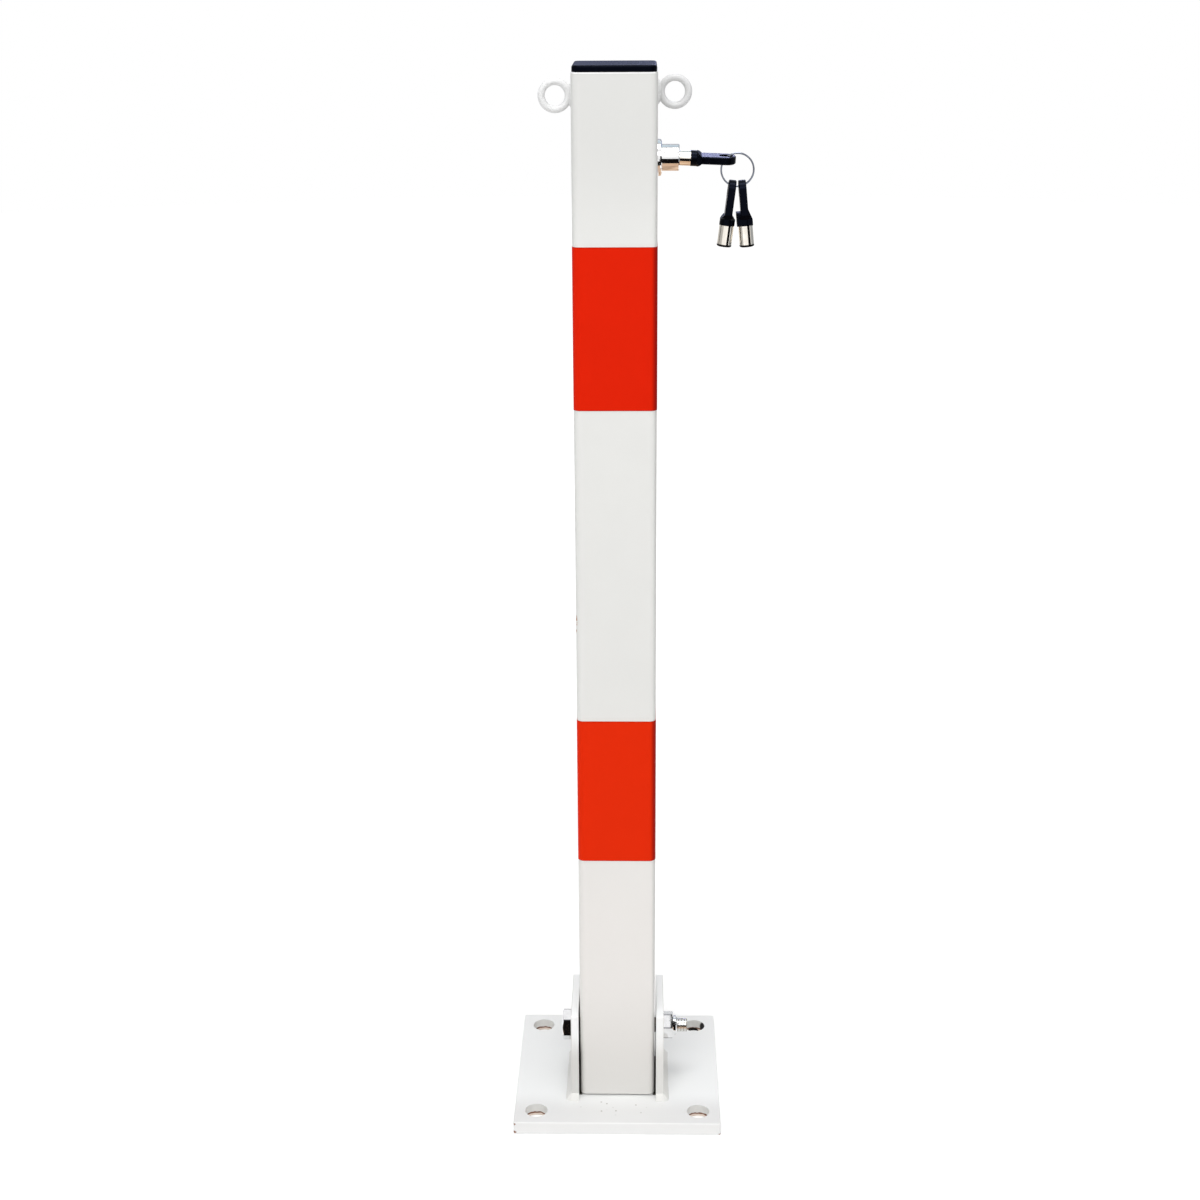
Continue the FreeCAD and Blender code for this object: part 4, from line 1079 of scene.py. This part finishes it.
def far_cards(black):
    """Cards round the part: black before it, tan on the ground, grey and blue behind, a pale roof."""
    tan = card_material("tan_card", (0.66, 0.42, 0.27), (0.78, 0.55, 0.38), 0.2)
    blue = card_material("blue_card", (0.08, 0.11, 0.26), (0.34, 0.38, 0.62), 0.16)
    glow = card_material("glow_card", (0.7, 1.1, 2.6), (6.8, 6.9, 10.5), 0.03)
    grey = card_material("grey_card", (0.30, 0.32, 0.34), (0.46, 0.48, 0.50), 0.35)
    pale = card_material("pale_card", (0.58, 0.69, 0.77), (0.68, 0.76, 0.82), 0.5)
    width, back_width = (-0.6, 0.6), (-2.0, 2.0)
    back, side = 1.6, 1.3
    card("front_card", upright((-0.55, 0.55), -1.0, (0.0, 0.42)), black)
    card("right_streak", turned((0.50, -0.90), (1.00, -0.44), (0.0, 0.95)), black)
    card("black_front", level(width, (-0.99, -0.72), GROUND_HEIGHT), black)
    card("tan_front", level(width, (-0.72, -0.09), GROUND_HEIGHT), tan)
    for name, sign in SIDES.items():
        card(name + "_side", turned((sign * side, -0.4), (sign * side, back), (0.0, 1.6)), grey)
    card("back_foot", upright(back_width, back, (0.0, 0.12)), grey)
    card("back_low", upright(back_width, back, (0.75, 1.15)), blue)
    card("back_high", upright(back_width, back, (1.15, 1.9)), grey)
    card("key_glow", upright((0.105, 0.21), 1.58, (1.15, 1.62)), glow)
    card("roof", level(width, (0.0, 0.5), 1.2), pale)


def near_cards(black):
    """Small cards close to the lock, the nut and the tube, for the bands in their metal."""
    tan = card_material("tan_near_card", (0.46, 0.30, 0.20), (0.88, 0.64, 0.46), 0.012)
    screen = card_material("screen_card", (0.50, 0.50, 0.50), (0.60, 0.58, 0.55), 0.03)
    wall = TUBE_HIGH.x
    card("plunger_front", upright((wall + 0.0015, 0.070), -0.050, (0.7306, 0.7526)), black)
    card("plunger_floor", level((wall + 0.0008, 0.060), (-0.027, 0.050), 0.728), tan)
    collar = NUT_HIGH.x + 0.0007
    before, low, high = -0.06, 0.03, 0.20
    foot = [(collar - 0.0070, before, low), (collar + 0.0015, before, low)]
    head = [(collar + 0.0015, before, high), (collar - 0.0028, before, high)]
    card("collar_front", foot + head, black)
    strip = (0.540, 0.735)
    card("tube_screen", turned((0.0336, -0.060), (0.0336, 0.030), strip), screen)
    card("tube_streak", turned((0.0339, -0.017), (0.0339, -0.009), strip), black)


class BOLLARD_OT_studio(bpy.types.Operator):
    """Lay the floor, hang the lamps and set the camera"""
    bl_idname = "bollard.studio"
    bl_label = "Studio"

    def execute(self, context):
        scene = context.scene
        studio = scene.bollard_studio
        points = disc_points(studio.floor_radius, FLOOR_HEIGHT)
        rows, columns = points.shape[:2]
        faces = grid_quads(rows, columns)[:, ::-1].tolist() + [list(range(columns))]
        mesh = bpy.data.meshes.new("floor")
        mesh.from_pydata(points.reshape(-1, 3).tolist(), [], faces)
        mesh.materials.append(floor_material(studio.lift_near, studio.lift_far))
        floor = placed("floor", mesh)
        black = card_material("black_card", (0.002, 0.002, 0.002), (0.006, 0.005, 0.005), 0.3)
        far_cards(black)
        near_cards(black)
        sky(scene, studio.sky_strength)
        lamp("key_lamp", (-1.2, -2.5, 2.0), (0.0, 0.0, 0.45), 1.5, studio.key_power)
        lamp("fill_lamp", (1.9, -1.9, 1.5), (0.0, 0.0, 0.45), 1.5, studio.fill_power)
        lamp("front_lamp", (0.05, -2.3, 2.1), (0.0, 0.0, 0.3), 1.0, studio.front_power)
        lamp("top_lamp", (0.0, -0.4, 2.7), (0.0, 0.0, 0.0), 1.2, studio.top_power)
        data = bpy.data.cameras.new("camera")
        data.sensor_width = 36.0
        data.lens = studio.lens
        scene.camera = placed("camera", data)
        scene.camera.matrix_world = facing(CAMERA_PLACE, CAMERA_TARGET, CAMERA_ROLL)
        scene.view_settings.view_transform = "Standard"
        return {"FINISHED"}


OPERATORS = (
    BOLLARD_OT_paint, BOLLARD_OT_bands, BOLLARD_OT_cap, BOLLARD_OT_foot_welds, BOLLARD_OT_eyelet_welds,
    BOLLARD_OT_pivot, BOLLARD_OT_lock, BOLLARD_OT_inner_steel, BOLLARD_OT_keys, BOLLARD_OT_key_ring,
    BOLLARD_OT_studio,
)


class BOLLARD_PT_panel(bpy.types.Panel):
    """Settings and steps of the bollard's finishes"""
    bl_idname = "BOLLARD_PT_panel"
    bl_label = "Bollard"
    bl_space_type = "VIEW_3D"
    bl_region_type = "UI"
    bl_category = "Bollard"

    def draw(self, context):
        for attribute, group in SETTING_GROUPS.items():
            box = self.layout.box()
            for setting in group.__annotations__:
                box.prop(getattr(context.scene, attribute), setting)
        for operator in OPERATORS:
            self.layout.operator(operator.bl_idname)


def register():
    for attribute, group in SETTING_GROUPS.items():
        bpy.utils.register_class(group)
        setattr(bpy.types.Scene, attribute, bpy.props.PointerProperty(type=group))
    for operator in OPERATORS:
        bpy.utils.register_class(operator)
    bpy.utils.register_class(BOLLARD_PT_panel)


def unregister():
    bpy.utils.unregister_class(BOLLARD_PT_panel)
    for operator in reversed(OPERATORS):
        bpy.utils.unregister_class(operator)
    for attribute, group in SETTING_GROUPS.items():
        delattr(bpy.types.Scene, attribute)
        bpy.utils.unregister_class(group)


def main():
    register()
    for operator in OPERATORS:
        area, name = operator.bl_idname.split(".")
        getattr(getattr(bpy.ops, area), name)()


if __name__ == "__main__":
    main()
